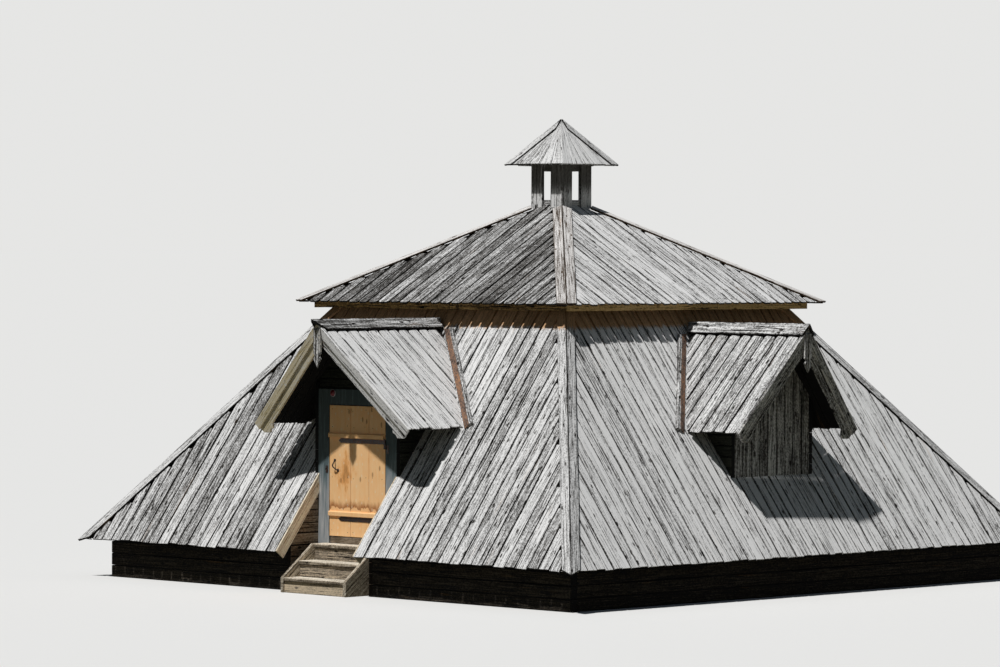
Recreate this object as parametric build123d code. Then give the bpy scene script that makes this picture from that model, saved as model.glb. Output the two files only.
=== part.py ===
"""Root cellar: a square timber pyramid with a door dormer, a blind dormer and a vent lantern.

Millimetres, +Z up. The origin is on the vertical axis of the building, at ground level.
The doorway faces -Y and the blind dormer faces +X.

Each side of the building is drawn once, facing -Y, with three coordinates: u runs to the right
as seen from outside, d runs from the vertical axis outwards, and z runs up. So x = u and y = -d.
Turning by quarter turns about the axis then gives the other sides.
"""
import os
from math import atan2, cos, hypot, sin, sqrt, tan

from build123d import *

# Skirt, the steep lower roof
SKIRT_HALF = 4490
SKIRT_EDGE_Z = 520
SKIRT_RISE = 3165
SKIRT_NECK_HALF = 2050
SKIRT_THICK = 50

# Upper roof
ROOF_OVERHANG = 420
ROOF_HALF = SKIRT_NECK_HALF + ROOF_OVERHANG
ROOF_PEAK_RISE = 1410
ROOF_THICK = 50
FASCIA_SETBACK = 150
FASCIA_DROP = 92
FASCIA_THICK = 25

# Hip boards
HIP_BOARD_THICK = 25
HIP_JOINT = 3
SKIRT_HIP_WIDTH = 120
SKIRT_HIP_TIP = 60
SKIRT_HIP_HEEL = -4
ROOF_HIP_WIDTH = 128
ROOF_HIP_TIP = 22
ROOF_HIP_HEEL = 18

# Vent lantern
CUPOLA_HALF = 284
CUPOLA_BOARD_WIDTH = 198
CUPOLA_BOARD_THICK = 45
CUPOLA_RING_WIDTH = 60
CUPOLA_CURB_RISE = 95
CUPOLA_HEAD_DROP = 95
CUPOLA_HEAD_HEIGHT = 140
CUPOLA_EAVE_HALF = 511
CUPOLA_EAVE_RISE = 572
CUPOLA_ROOF_RISE = 585
CUPOLA_ROOF_THICK = 30
CUPOLA_HIP_WIDTH = 92
CUPOLA_HIP_THICK = 20
CUPOLA_HIP_TIP = 30
CUPOLA_HIP_HEEL = 12

# Carrying timber
BASE_WALL_SETBACK = 270
BASE_WALL_THICK = 120
RING_BEAM_SHELF = 50
RING_BEAM_DEPTH = 225
RAFTER_WIDTH = 100
RAFTER_DEPTH = 140

# Floor, reached over the door sill
FLOOR_TOP = 685
FLOOR_THICK = 50

# Dormers: the doorway's is broad, the blind one narrow and steep
DOOR_DORMER_RIDGE_DROP = 238
DOOR_DORMER_HALF = 1420
DOOR_DORMER_RISE = 1315
DOOR_DORMER_SETBACK = 70
DOOR_DORMER_RAKE_RUN = 252
DOOR_RIDGE_OVERSHOOT = 130
DOOR_RIDGE_BEVEL = 170
BLIND_DORMER_RIDGE_DROP = 285
BLIND_DORMER_HALF = 1150
BLIND_DORMER_RISE = 1320
BLIND_DORMER_SETBACK = 180
BLIND_DORMER_RAKE_RUN = 165
BLIND_RIDGE_OVERSHOOT = 58
BLIND_RIDGE_BEVEL = 30
DORMER_THICK = 45
DORMER_JOINT = 3
RIDGE_BOARD_WIDTH = 150
RIDGE_BOARD_THICK = 30
RIDGE_BOARD_GAP = 20
BARGE_WIDTH = 215
BARGE_THICK = 25
BARGE_HANG = 125
BARGE_FOOT = 120
BARGE_TOE = 135
BARGE_HEEL_IN = 0
VERGE_WIDTH = 110
VERGE_THICK = 22
APEX_WIDTH = 135
APEX_TOP_DROP = 85
APEX_LENGTH = 312
APEX_THICK = 20
ARROW_WIDTH = 140
ARROW_NECK = 76
ARROW_TAPER = 33
ARROW_SHOULDER = 37
ARROW_LENGTH = 113
VALLEY_WIDTH = 150
VALLEY_THICK = 42
VALLEY_BARK = 100
VALLEY_GAP = 6
VALLEY_TAIL = 60
CHEEK_THICK = 60

# Doorway
OPENING_HALF = 720
OPENING_HEADROOM = 50
WALL_SETBACK = 750
WALL_DEPTH = 140
DOORWAY_HALF = 522
STOP_WIDTH = 30
LINTEL_HEIGHT = 197
LINTEL_DROP = 143.9
GABLE_BOARD_THICK = 60
GABLE_SETBACK = 20
TRIM_THICK = 20
TRIM_DEPTH = 155

# Door
DOOR_GAP = 10
DOOR_THICK = 45
LEDGE_THICK = 25
LEDGE_HEIGHT = 60
LEDGE_SHORT = 12
LOW_LEDGE_RISE = 320
HIGH_LEDGE_DROP = 350
LEDGE_CHAMFER = 12
STRAP_BELOW_LEDGE_TOP = 96
STRAP_HEIGHT = 58
STRAP_LENGTH = 855
STRAP_THICK = 6
STRAP_POINT = 40
PIN_RADIUS = 8
PIN_CLEARANCE = 0.08
EYE_RADIUS = 14
PIN_STANDOFF = 16
PIN_INSET = 4
PIN_RISE = 10
PINTLE_PLATE_WIDTH = 46
PINTLE_PLATE_HEIGHT = 110
PINTLE_PLATE_THICK = 5
PINTLE_BOSS_GAP = 0.5
HANDLE_U = -395
HANDLE_DROP = 418
HANDLE_HEIGHT = 150
HANDLE_REACH = 52
HANDLE_ROD_RADIUS = 7
HANDLE_BEND = 24
HANDLE_ROSE_RADIUS = 19
HANDLE_ROSE_THICK = 4
STAPLE_U = -560
STAPLE_DROP = 55
STAPLE_PLATE_WIDTH = 45
STAPLE_PLATE_HEIGHT = 95
STAPLE_PLATE_THICK = 4
STAPLE_RING_RADIUS = 20
STAPLE_ROD_RADIUS = 5
STAPLE_RING_SEAT = 1

# Round lamp on the lintel
LAMP_U = -445
LAMP_RADIUS = 50
LAMP_RIM_DEPTH = 14
LAMP_DOME_RADIUS = 42
LAMP_DOME_DEPTH = 22

# Steps
STEP_COUNT = 3
STEP_TOP_Z = 600
STEP_RISE = 205
STEP_GOING = 265
STEP_LANDING = 240
STEP_HALF = 550
TREAD_THICK = 40
NOSING = 24
RISER_THICK = 25
STRINGER_THICK = 50

FAR = 9000
QUARTERS = (0, 90, 180, 270)
FRONT, RIGHT, BACK, LEFT = QUARTERS


def face_outline(points, u_low, u_high):
    """An outline of (d, z) points, carried across a side from u_low to u_high."""
    plane = Plane(origin=(u_high, 0, 0), x_dir=(0, -1, 0), z_dir=(-1, 0, 0))
    sketch = plane * make_face(Polyline(*points, close=True))
    return extrude(sketch, amount=u_high - u_low, dir=(-1, 0, 0))


def front_outline(points, d_low, d_high):
    """An outline of (u, z) points seen from outside, carried from d_low out to d_high."""
    plane = Plane(origin=(0, -d_low, 0), x_dir=(1, 0, 0), z_dir=(0, -1, 0))
    sketch = plane * make_face(Polyline(*points, close=True))
    return extrude(sketch, amount=d_high - d_low, dir=(0, -1, 0))


def plan_outline(points, z_low, z_high):
    """An outline of (u, d) points seen from above, carried from z_low up to z_high."""
    outline = Polyline(*[(u, -d) for u, d in points], close=True)
    sketch = Plane.XY.offset(z_low) * make_face(outline)
    return extrude(sketch, amount=z_high - z_low, dir=(0, 0, 1))


def block(u_low, u_high, d_low, d_high, z_low, z_high):
    """A squared timber or plate between three pairs of limits."""
    return plan_outline([(u_low, d_low), (u_high, d_low), (u_high, d_high), (u_low, d_high)],
                        z_low, z_high)


def turned(solid, angle):
    """The same piece on another side of the building."""
    return Rotation(0, 0, angle) * solid


def mirrored(solid):
    """The same piece on the other half of its side."""
    return mirror(solid, about=Plane.YZ)


def on_sides(solid, *angles):
    """One copy on each side that is named."""
    return [turned(solid, angle) for angle in angles]


def all_round(solid):
    """One copy on each of the four sides."""
    return on_sides(solid, *QUARTERS)


def wedge(joint=0):
    """The quarter of space that one side owns, up to its two hips, less half a joint."""
    inset = joint / 2 * sqrt(2)
    return plan_outline([(0, inset), (FAR - inset, FAR), (inset - FAR, FAR)], -FAR, FAR)


class Slope:
    """A roof plane of one side, from its lower edge at (d, z) up at an angle."""

    def __init__(self, edge_d, edge_z, angle):
        self.edge_d = edge_d
        self.edge_z = edge_z
        self.angle = angle
        self.plane = Plane(origin=(0, -edge_d, edge_z), x_dir=(1, 0, 0),
                           z_dir=(0, -sin(angle), cos(angle)))

    def lifted(self, height):
        """The parallel plane that lies further out by a height square to the slope."""
        return Slope(self.edge_d + height * sin(self.angle),
                     self.edge_z + height * cos(self.angle), self.angle)

    def z_at(self, d):
        return self.edge_z + (self.edge_d - d) * tan(self.angle)

    def d_at(self, z):
        return self.edge_d - (z - self.edge_z) / tan(self.angle)

    def meeting(self, other):
        """The point (d, z) where this slope meets another one."""
        gap = self.z_at(0) - other.z_at(0)
        d = gap / (tan(self.angle) - tan(other.angle))
        return d, self.z_at(d)

    def outside(self):
        """All that lies above this plane."""
        foot = (self.edge_d + FAR * cos(self.angle), self.edge_z - FAR * sin(self.angle))
        head = (self.edge_d - FAR * cos(self.angle), self.edge_z + FAR * sin(self.angle))
        out = (FAR * sin(self.angle), FAR * cos(self.angle))
        points = [foot, head, (head[0] + out[0], head[1] + out[1]),
                  (foot[0] + out[0], foot[1] + out[1])]
        return face_outline(points, -FAR, FAR)

    def inside(self):
        """All that lies below this plane."""
        return self.lifted(-FAR).outside()

    def plate(self, points, thick):
        """An outline of (u, distance up the slope) points, thickened outwards."""
        sketch = self.plane * make_face(Polyline(*points, close=True))
        return extrude(sketch, amount=thick, dir=self.plane.z_dir)


skirt_top = Slope(SKIRT_HALF, SKIRT_EDGE_Z, atan2(SKIRT_RISE, SKIRT_HALF - SKIRT_NECK_HALF))
skirt_under = skirt_top.lifted(-SKIRT_THICK)
roof_edge_z = SKIRT_EDGE_Z + SKIRT_RISE
roof_top = Slope(ROOF_HALF, roof_edge_z, atan2(ROOF_PEAK_RISE, ROOF_HALF))
roof_under = roof_top.lifted(-ROOF_THICK)
cupola_eave_z = roof_top.z_at(CUPOLA_HALF) + CUPOLA_EAVE_RISE
cupola_top = Slope(CUPOLA_EAVE_HALF, cupola_eave_z, atan2(CUPOLA_ROOF_RISE, CUPOLA_EAVE_HALF))
cupola_under = cupola_top.lifted(-CUPOLA_ROOF_THICK)
curb_outer = CUPOLA_HALF - CUPOLA_BOARD_THICK
curb_inner = curb_outer - CUPOLA_RING_WIDTH
ring_meeting = skirt_under.meeting(roof_under)
ring_low = ring_meeting[1] - RING_BEAM_DEPTH
base_outer = SKIRT_HALF - BASE_WALL_SETBACK
base_inner = base_outer - BASE_WALL_THICK
wall_face = SKIRT_HALF - WALL_SETBACK
wall_back = wall_face - WALL_DEPTH
cheek_outer = OPENING_HALF + CHEEK_THICK


def skirt_side():
    """A whole side of the skirt, mitred at its hips and seated under the upper roof."""
    outline = [(skirt_top.edge_d, skirt_top.edge_z), skirt_top.meeting(roof_under),
               skirt_under.meeting(roof_under), (skirt_under.edge_d, skirt_under.edge_z)]
    return face_outline(outline, -FAR, FAR) & wedge()


def skirt_beside_doorway():
    """The doorway side is cut out between the cheeks, which leaves a part on the left and right."""
    right = skirt_side() & block(OPENING_HALF, FAR, 0, FAR, 0, FAR)
    return [right, mirrored(right)]


def skirt_over_doorway():
    """The part of the doorway side above the dormer's throat."""
    low = lintel_top + OPENING_HEADROOM
    return skirt_side() & block(-OPENING_HALF, OPENING_HALF, 0, FAR, low, FAR)


def roof_side(top, under, inner_d):
    """A side of an upper roof, cut square at its eave and plumb at inner_d."""
    outline = [(top.edge_d, top.edge_z), (inner_d, top.z_at(inner_d)),
               (inner_d, under.z_at(inner_d)), (under.edge_d, under.edge_z)]
    return face_outline(outline, -FAR, FAR) & wedge()


def hip_board(slope, width, thick, tip, heel, joint):
    """The right-hand board of a hip: it lies on one side, along the hip.

    Its foot reaches below the slope's edge by tip at the hip and by heel at its inner edge.
    """
    hip_climb = slope.edge_d / cos(slope.angle)
    lean = slope.edge_d / hip_climb
    across = width * hypot(1, lean)
    past = width

    def on_hip(climb, inward):
        return slope.edge_d - lean * climb - inward, climb

    foot_slant = (tip - heel) / across * past
    corners = [on_hip(-tip - foot_slant, -past), on_hip(-heel, across),
               on_hip(hip_climb + past, across), on_hip(hip_climb + past, -past)]
    return slope.plate(corners, thick) & wedge(joint)


def both_hips(board):
    """The boards on the two hips of a side, and so eight boards round the building."""
    return [turned(piece, angle) for angle in QUARTERS for piece in (board, mirrored(board))]


def skirt_hip_boards():
    board = hip_board(skirt_top, SKIRT_HIP_WIDTH, HIP_BOARD_THICK, SKIRT_HIP_TIP, SKIRT_HIP_HEEL,
                      HIP_JOINT)
    return both_hips(board - roof_under.outside())


def roof_hip_boards():
    board = hip_board(roof_top, ROOF_HIP_WIDTH, HIP_BOARD_THICK, ROOF_HIP_TIP, ROOF_HIP_HEEL,
                      HIP_JOINT)
    return both_hips(board - block(-CUPOLA_HALF, CUPOLA_HALF, 0, CUPOLA_HALF, 0, FAR))


def fascia():
    """Four boards hung under the eave, their top edges cut to the roof's underside."""
    outer = ROOF_HALF - FASCIA_SETBACK
    inner = outer - FASCIA_THICK
    low = roof_edge_z - FASCIA_DROP
    outline = [(inner, low), (outer, low), (outer, roof_under.z_at(outer)),
               (inner, roof_under.z_at(inner))]
    return all_round(face_outline(outline, -FAR, FAR) & wedge(HIP_JOINT))


def ring_beams():
    """Four beams that carry the upper roof and the heads of the skirt."""
    inner = ring_meeting[0] - RING_BEAM_SHELF
    outline = [(inner, ring_low), (skirt_under.d_at(ring_low), ring_low), ring_meeting,
               (inner, roof_under.z_at(inner))]
    return all_round(face_outline(outline, -FAR, FAR) & wedge(HIP_JOINT))


def hip_rafters():
    """Four rafters under the skirt's hips, backed to both sides that they carry."""
    foot_d = base_inner - RAFTER_WIDTH / 2 / sqrt(2)
    head_d = skirt_under.d_at(ring_low)
    drop = RAFTER_DEPTH / cos(skirt_under.angle)
    outline = [(foot_d, skirt_under.z_at(foot_d) - drop), (foot_d, skirt_under.z_at(foot_d)),
               (head_d, skirt_under.z_at(head_d)), (head_d, skirt_under.z_at(head_d) - drop)]
    diagonal = [(d * sqrt(2), z) for d, z in outline]
    rafter = turned(face_outline(diagonal, -RAFTER_WIDTH / 2, RAFTER_WIDTH / 2), RIGHT / 2)
    rafter -= skirt_under.outside()
    rafter -= turned(skirt_under.outside(), RIGHT)
    return all_round(rafter)


def base_wall():
    """A low timber wall under the skirt, its top cut to the slope that it carries."""
    outline = [(base_inner, 0), (base_outer, 0),
               (base_outer, skirt_under.z_at(base_outer)),
               (base_inner, skirt_under.z_at(base_inner))]
    return face_outline(outline, -FAR, FAR) & wedge()


def base_wall_beside_doorway():
    right = base_wall() & block(cheek_outer, FAR, 0, FAR, 0, FAR)
    return [right, mirrored(right)]


def floor():
    """A plank floor inside the base walls, cut back round the entrance recess."""
    low = FLOOR_TOP - FLOOR_THICK
    slab = block(-base_inner, base_inner, -base_inner, base_inner, low, FLOOR_TOP)
    return slab - block(-cheek_outer, cheek_outer, wall_back, FAR, 0, FAR)


class Dormer:
    """A gabled dormer on the doorway side: its ridge is level and its gable end rakes back."""

    def __init__(self, ridge_z, half, rise, setback, rake_run, overshoot, bevel):
        self.ridge_z = ridge_z
        self.half = half
        self.eave_z = ridge_z - rise
        self.ridge_out = SKIRT_HALF - setback
        self.tip_out = self.ridge_out + overshoot
        self.bevel = bevel
        self.angle = atan2(rise, half)
        self.rake_angle = atan2(rake_run, rise)
        self.stretch = 1 / cos(self.rake_angle)
        self.rake_plane = Plane(origin=(0, -self.ridge_out, ridge_z), x_dir=(1, 0, 0),
                                z_dir=(0, -cos(self.rake_angle), -sin(self.rake_angle)))

    def top_z(self, u):
        """Height of a slope's top at a distance from the ridge."""
        return self.ridge_z - abs(u) * tan(self.angle)

    def under_z(self, u):
        return self.top_z(u) - DORMER_THICK / cos(self.angle)

    def rake_d(self, z):
        """How far out the gable end stands at a height: the ridge reaches furthest."""
        return self.ridge_out - (self.ridge_z - z) * tan(self.rake_angle)

    def on_rake(self, u, z):
        """A point of the gable end, seen square on, in the coordinates of the rake plane."""
        return u, (z - self.ridge_z) * self.stretch

    def beyond_rake(self):
        """All that lies in front of the raked gable end."""
        points = [(self.rake_d(0), 0), (self.rake_d(FAR), FAR), (2 * FAR, FAR), (2 * FAR, 0)]
        return face_outline(points, -FAR, FAR)

    def below(self, solid):
        """What is left of a wall below the two slopes."""
        eave = cheek_outer + CHEEK_THICK
        tent = [(-eave, 0), (eave, 0), (eave, self.under_z(eave)), (0, self.under_z(0)),
                (-eave, self.under_z(eave))]
        return solid & front_outline(tent, 0, FAR)


door_dormer = Dormer(roof_edge_z - DOOR_DORMER_RIDGE_DROP, DOOR_DORMER_HALF, DOOR_DORMER_RISE,
                     DOOR_DORMER_SETBACK, DOOR_DORMER_RAKE_RUN, DOOR_RIDGE_OVERSHOOT,
                     DOOR_RIDGE_BEVEL)
blind_dormer = Dormer(roof_edge_z - BLIND_DORMER_RIDGE_DROP, BLIND_DORMER_HALF,
                      BLIND_DORMER_RISE, BLIND_DORMER_SETBACK, BLIND_DORMER_RAKE_RUN,
                      BLIND_RIDGE_OVERSHOOT, BLIND_RIDGE_BEVEL)
lintel_top = door_dormer.under_z(OPENING_HALF) - LINTEL_DROP
doorway_top = lintel_top - LINTEL_HEIGHT


def dormer_slope(dormer):
    """The right-hand slope: it dies into the skirt and ends on the rake."""
    side = DORMER_JOINT / 2
    outline = [(side, dormer.top_z(side)), (dormer.half, dormer.eave_z),
               (dormer.half - DORMER_THICK * sin(dormer.angle),
                dormer.eave_z - DORMER_THICK * cos(dormer.angle)), (side, dormer.under_z(side))]
    return front_outline(outline, 0, FAR) - skirt_top.inside() - dormer.beyond_rake()


def ridge_board_low(dormer):
    """Height of the ridge boards' lower edges, where they lie on the slopes."""
    return dormer.ridge_z - RIDGE_BOARD_WIDTH * sin(dormer.angle)


def dormer_ridge_board(dormer):
    """Two boards folded over the ridge, bevelled at the gable end and along the skirt."""
    low = ridge_board_low(dormer)
    peak = dormer.ridge_z + RIDGE_BOARD_THICK / cos(dormer.angle)
    reach = RIDGE_BOARD_WIDTH * cos(dormer.angle)
    edge = (reach + RIDGE_BOARD_THICK * sin(dormer.angle),
            low + RIDGE_BOARD_THICK * cos(dormer.angle))
    outline = [(0, dormer.ridge_z), (reach, low), edge, (0, peak), (-edge[0], edge[1]),
               (-reach, low)]
    front = dormer.tip_out
    bevel = [(front, peak), (front + FAR, peak), (front + FAR, low), (front - dormer.bevel, low)]
    board = front_outline(outline, 0, FAR) - skirt_top.lifted(RIDGE_BOARD_GAP).inside()
    return board - face_outline(bevel, -FAR, FAR)


def verge_strip(dormer):
    """The strip on the right-hand bargeboard, from the apex board to a foot cut square."""
    side = APEX_WIDTH / 2 + DORMER_JOINT
    drop = VERGE_WIDTH / cos(dormer.angle)
    foot = (dormer.half - VERGE_WIDTH * sin(dormer.angle),
            dormer.eave_z - VERGE_WIDTH * cos(dormer.angle))
    corners = [(side, dormer.top_z(side)), (dormer.half, dormer.eave_z), foot,
               (side, dormer.top_z(side) - drop)]
    points = [dormer.on_rake(u, z) for u, z in corners]
    sketch = dormer.rake_plane.offset(BARGE_THICK) * make_face(Polyline(*points, close=True))
    return extrude(sketch, amount=VERGE_THICK, dir=dormer.rake_plane.z_dir)


def bargeboard(dormer):
    """The broad board under the right-hand rake, its foot shaped with a round and a slant."""
    side = DORMER_JOINT / 2
    drop = BARGE_WIDTH / cos(dormer.angle)
    toe_u = dormer.half - BARGE_TOE
    heel_u = toe_u - BARGE_FOOT
    inner_u = dormer.half - BARGE_WIDTH / sin(dormer.angle) + BARGE_HEEL_IN
    round_radius = heel_u - inner_u
    low = dormer.on_rake(0, dormer.eave_z)[1] - BARGE_HANG
    outline = Polyline((heel_u, low), (toe_u, low), dormer.on_rake(dormer.half, dormer.eave_z),
                       dormer.on_rake(side, dormer.top_z(side)),
                       dormer.on_rake(side, dormer.top_z(side) - drop),
                       dormer.on_rake(inner_u, dormer.top_z(inner_u) - drop),
                       (inner_u, low + round_radius))
    heel = RadiusArc((inner_u, low + round_radius), (heel_u, low), round_radius)
    sketch = dormer.rake_plane * make_face(outline + heel)
    return extrude(sketch, amount=BARGE_THICK, dir=dormer.rake_plane.z_dir)


def apex_board(dormer):
    """A short plumb board over the joint of the bargeboards, cut to an arrow head below."""
    top = dormer.ridge_z - APEX_TOP_DROP
    low = top - APEX_LENGTH
    neck = low - ARROW_TAPER
    shoulder = neck - ARROW_SHOULDER
    half = [(APEX_WIDTH / 2, top), (APEX_WIDTH / 2, low), (ARROW_NECK / 2, neck),
            (ARROW_WIDTH / 2, shoulder)]
    other_half = [(-u, z) for u, z in reversed(half)]
    points = half + [(0, shoulder - ARROW_LENGTH)] + other_half
    back = dormer.rake_d(top) + BARGE_THICK * dormer.stretch
    return front_outline(points, back, back + APEX_THICK)


def valley_board(dormer):
    """A thick waney board on the skirt beside the right-hand slope, its bark edge inwards.

    Its head is cut level below the ridge boards.
    """
    run = dormer.half
    climb = (dormer.ridge_z - dormer.eave_z) / sin(skirt_top.angle)
    length = hypot(run, climb)
    foot = skirt_top.plane.from_local_coords(
        (dormer.half, (dormer.eave_z - SKIRT_EDGE_Z) / sin(skirt_top.angle), 0))
    up_dir = skirt_top.plane.x_dir * (-run / length) + skirt_top.plane.y_dir * (climb / length)
    out_dir = skirt_top.plane.x_dir * (climb / length) + skirt_top.plane.y_dir * (run / length)
    plane = Plane(origin=foot - up_dir * VALLEY_TAIL, x_dir=out_dir, z_dir=up_dir)
    section = [(VALLEY_GAP, 0), (VALLEY_WIDTH, 0), (VALLEY_WIDTH, -VALLEY_THICK),
               (VALLEY_GAP + VALLEY_BARK, -VALLEY_THICK)]
    sketch = plane * make_face(Polyline(*section, close=True))
    board = extrude(sketch, amount=length + VALLEY_TAIL, dir=up_dir)
    return board - block(-FAR, FAR, 0, FAR, ridge_board_low(dormer) - DORMER_JOINT, FAR)


def dormer_cheek(dormer):
    """The right-hand side wall of a dormer: it stands on the skirt and dies into it."""
    throat = skirt_top.d_at(dormer.under_z(OPENING_HALF))
    outline = [(wall_face, skirt_top.z_at(wall_face)), (wall_face, FAR), (throat, FAR),
               (throat, skirt_top.z_at(throat))]
    return dormer.below(face_outline(outline, OPENING_HALF, cheek_outer))


def both_dormers(make):
    """One piece of its own for the doorway's dormer and for the blind one."""
    return [make(door_dormer), turned(make(blind_dormer), RIGHT)]


def both_halves(make):
    """A right-hand piece and its mirror image on both dormers."""
    return both_dormers(make) + both_dormers(lambda dormer: mirrored(make(dormer)))


def blind_front_wall():
    """The boarded front of the blind dormer, standing on the uncut skirt."""
    wall = block(-OPENING_HALF, OPENING_HALF, wall_face - GABLE_BOARD_THICK, wall_face, 0, FAR)
    return turned(blind_dormer.below(wall - skirt_top.inside()), RIGHT)


def door_post():
    """The right-hand post with its rebate, from the ground to the lintel."""
    stop_face = wall_face - DOOR_THICK - DOOR_GAP
    plan = [(DOORWAY_HALF, wall_face), (OPENING_HALF, wall_face), (OPENING_HALF, wall_back),
            (DOORWAY_HALF - STOP_WIDTH, wall_back), (DOORWAY_HALF - STOP_WIDTH, stop_face),
            (DOORWAY_HALF, stop_face)]
    return plan_outline(plan, 0, doorway_top)


def lintel():
    return block(-OPENING_HALF, OPENING_HALF, wall_back, wall_face, doorway_top, lintel_top)


def gable_wall():
    """The boards that close the doorway's gable above the lintel."""
    face = wall_face - GABLE_SETBACK
    boards = block(-OPENING_HALF, OPENING_HALF, face - GABLE_BOARD_THICK, face, lintel_top, FAR)
    return door_dormer.below(boards)


def door_sill():
    half = DOORWAY_HALF - STOP_WIDTH
    return block(-half, half, wall_back, wall_face, 0, FLOOR_TOP)


def recess_cheek():
    """The right-hand side of the entrance recess, between the ground and the skirt."""
    outline = [(wall_back, 0), (base_outer, 0),
               (base_outer, skirt_under.z_at(base_outer)),
               (wall_back, skirt_under.z_at(wall_back))]
    return face_outline(outline, OPENING_HALF, cheek_outer)


def opening_trim():
    """The board that covers the skirt's right-hand cut edge, from the post to the eave."""
    low = skirt_top.lifted(-TRIM_DEPTH)
    outline = [(skirt_top.edge_d, skirt_top.edge_z), (wall_face, skirt_top.z_at(wall_face)),
               (wall_face, low.z_at(wall_face)), (low.edge_d, low.edge_z)]
    return face_outline(outline, OPENING_HALF - TRIM_THICK, OPENING_HALF)


def tread_front(index):
    return wall_face + STEP_LANDING + index * STEP_GOING


def tread_top(index):
    return STEP_TOP_Z - index * STEP_RISE


def step_treads():
    """Planks housed between the stringers, each reaching back under the riser above it."""
    treads = []
    for index in range(STEP_COUNT):
        back = wall_face if index == 0 else tread_front(index - 1) - NOSING
        treads.append(block(-STEP_HALF, STEP_HALF, back, tread_front(index),
                            tread_top(index) - TREAD_THICK, tread_top(index)))
    return treads


def step_risers():
    """Upright planks, each from the tread below to the underside of its own tread."""
    risers = []
    for index in range(STEP_COUNT):
        low = 0 if index == STEP_COUNT - 1 else tread_top(index + 1) - TREAD_THICK
        face = tread_front(index) - NOSING
        risers.append(block(-STEP_HALF, STEP_HALF, face - RISER_THICK, face,
                            low, tread_top(index) - TREAD_THICK))
    return risers


def step_stringer():
    """The right-hand stringer, its top edge on the line of the nosings."""
    last = STEP_COUNT - 1
    outline = [(wall_face, 0), (tread_front(last), 0), (tread_front(last), tread_top(last)),
               (tread_front(0), tread_top(0)), (wall_face, tread_top(0))]
    return face_outline(outline, STEP_HALF, STEP_HALF + STRINGER_THICK)


leaf_half = DOORWAY_HALF - DOOR_GAP
leaf_face = wall_face
leaf_low = FLOOR_TOP + DOOR_GAP
leaf_high = doorway_top - DOOR_GAP
ledge_tops = (leaf_low + LOW_LEDGE_RISE, leaf_high - HIGH_LEDGE_DROP)
handle_z = ledge_tops[1] - HANDLE_DROP
staple_z = handle_z - STAPLE_DROP
lamp_z = lintel_top - LAMP_RADIUS
pin_u = DOORWAY_HALF - PIN_INSET
pin_d = wall_face + PIN_STANDOFF


def door_leaf():
    return block(-leaf_half, leaf_half, leaf_face - DOOR_THICK, leaf_face, leaf_low, leaf_high)


def door_ledge(top):
    """A cross strip on the outside of the leaf, its top edge chamfered to shed water."""
    low = top - LEDGE_HEIGHT
    front = leaf_face + LEDGE_THICK
    outline = [(leaf_face, low), (front, low), (front, top - LEDGE_CHAMFER),
               (front - LEDGE_CHAMFER, top), (leaf_face, top)]
    return face_outline(outline, -leaf_half, leaf_half - LEDGE_SHORT)


def strap_middle(ledge_top):
    return ledge_top - STRAP_BELOW_LEDGE_TOP


def upright_cylinder(radius, u, d, z_low, z_high):
    return Pos(u, -d, z_low) * extrude(Circle(radius), amount=z_high - z_low, dir=(0, 0, 1))


def strap_hinge(ledge_top):
    """An iron strap below a ledge, pointed at its free end and rolled to an eye at the pin."""
    middle = strap_middle(ledge_top)
    low = middle - STRAP_HEIGHT / 2
    high = middle + STRAP_HEIGHT / 2
    tip = pin_u - STRAP_LENGTH
    outline = [(pin_u, low), (pin_u, high), (tip + STRAP_POINT, high), (tip, middle),
               (tip + STRAP_POINT, low)]
    strap = front_outline(outline, wall_face, wall_face + STRAP_THICK)
    eye = upright_cylinder(EYE_RADIUS, pin_u, pin_d, low, high)
    bore = upright_cylinder(PIN_RADIUS + PIN_CLEARANCE, pin_u, pin_d, low, high)
    return strap + eye - bore


def pintle(ledge_top):
    """The fixed half of a hinge: a pin on a boss below the eye, riveted to the post."""
    middle = strap_middle(ledge_top)
    low = middle - STRAP_HEIGHT / 2
    high = middle + STRAP_HEIGHT / 2
    boss_top = low - PINTLE_BOSS_GAP
    boss_low = boss_top - STRAP_HEIGHT
    pin = upright_cylinder(PIN_RADIUS, pin_u, pin_d, boss_low, high + PIN_RISE)
    boss = upright_cylinder(EYE_RADIUS, pin_u, pin_d, boss_low, boss_top)
    arm = block(pin_u, pin_u + PINTLE_PLATE_WIDTH / 2, wall_face, pin_d, boss_low, boss_top)
    plate = block(pin_u + EYE_RADIUS, pin_u + EYE_RADIUS + PINTLE_PLATE_WIDTH, wall_face,
                  wall_face + PINTLE_PLATE_THICK, boss_top - PINTLE_PLATE_HEIGHT, boss_top)
    return pin + boss + arm + plate


def door_handle():
    """A bowed pull of round iron on two roses."""
    low = handle_z - HANDLE_HEIGHT / 2
    high = handle_z + HANDLE_HEIGHT / 2
    out = leaf_face + HANDLE_REACH
    route = FilletPolyline((HANDLE_U, -leaf_face, low), (HANDLE_U, -out, low),
                           (HANDLE_U, -out, high), (HANDLE_U, -leaf_face, high),
                           radius=HANDLE_BEND)
    profile = Plane(origin=route @ 0, z_dir=route % 0) * Circle(HANDLE_ROD_RADIUS)
    bow = sweep(profile, path=route)
    for end_z in (low, high):
        plane = Plane(origin=(HANDLE_U, -leaf_face, end_z), z_dir=(0, -1, 0))
        rose = plane * Circle(HANDLE_ROSE_RADIUS)
        bow += extrude(rose, amount=HANDLE_ROSE_THICK, dir=(0, -1, 0))
    return bow


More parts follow.
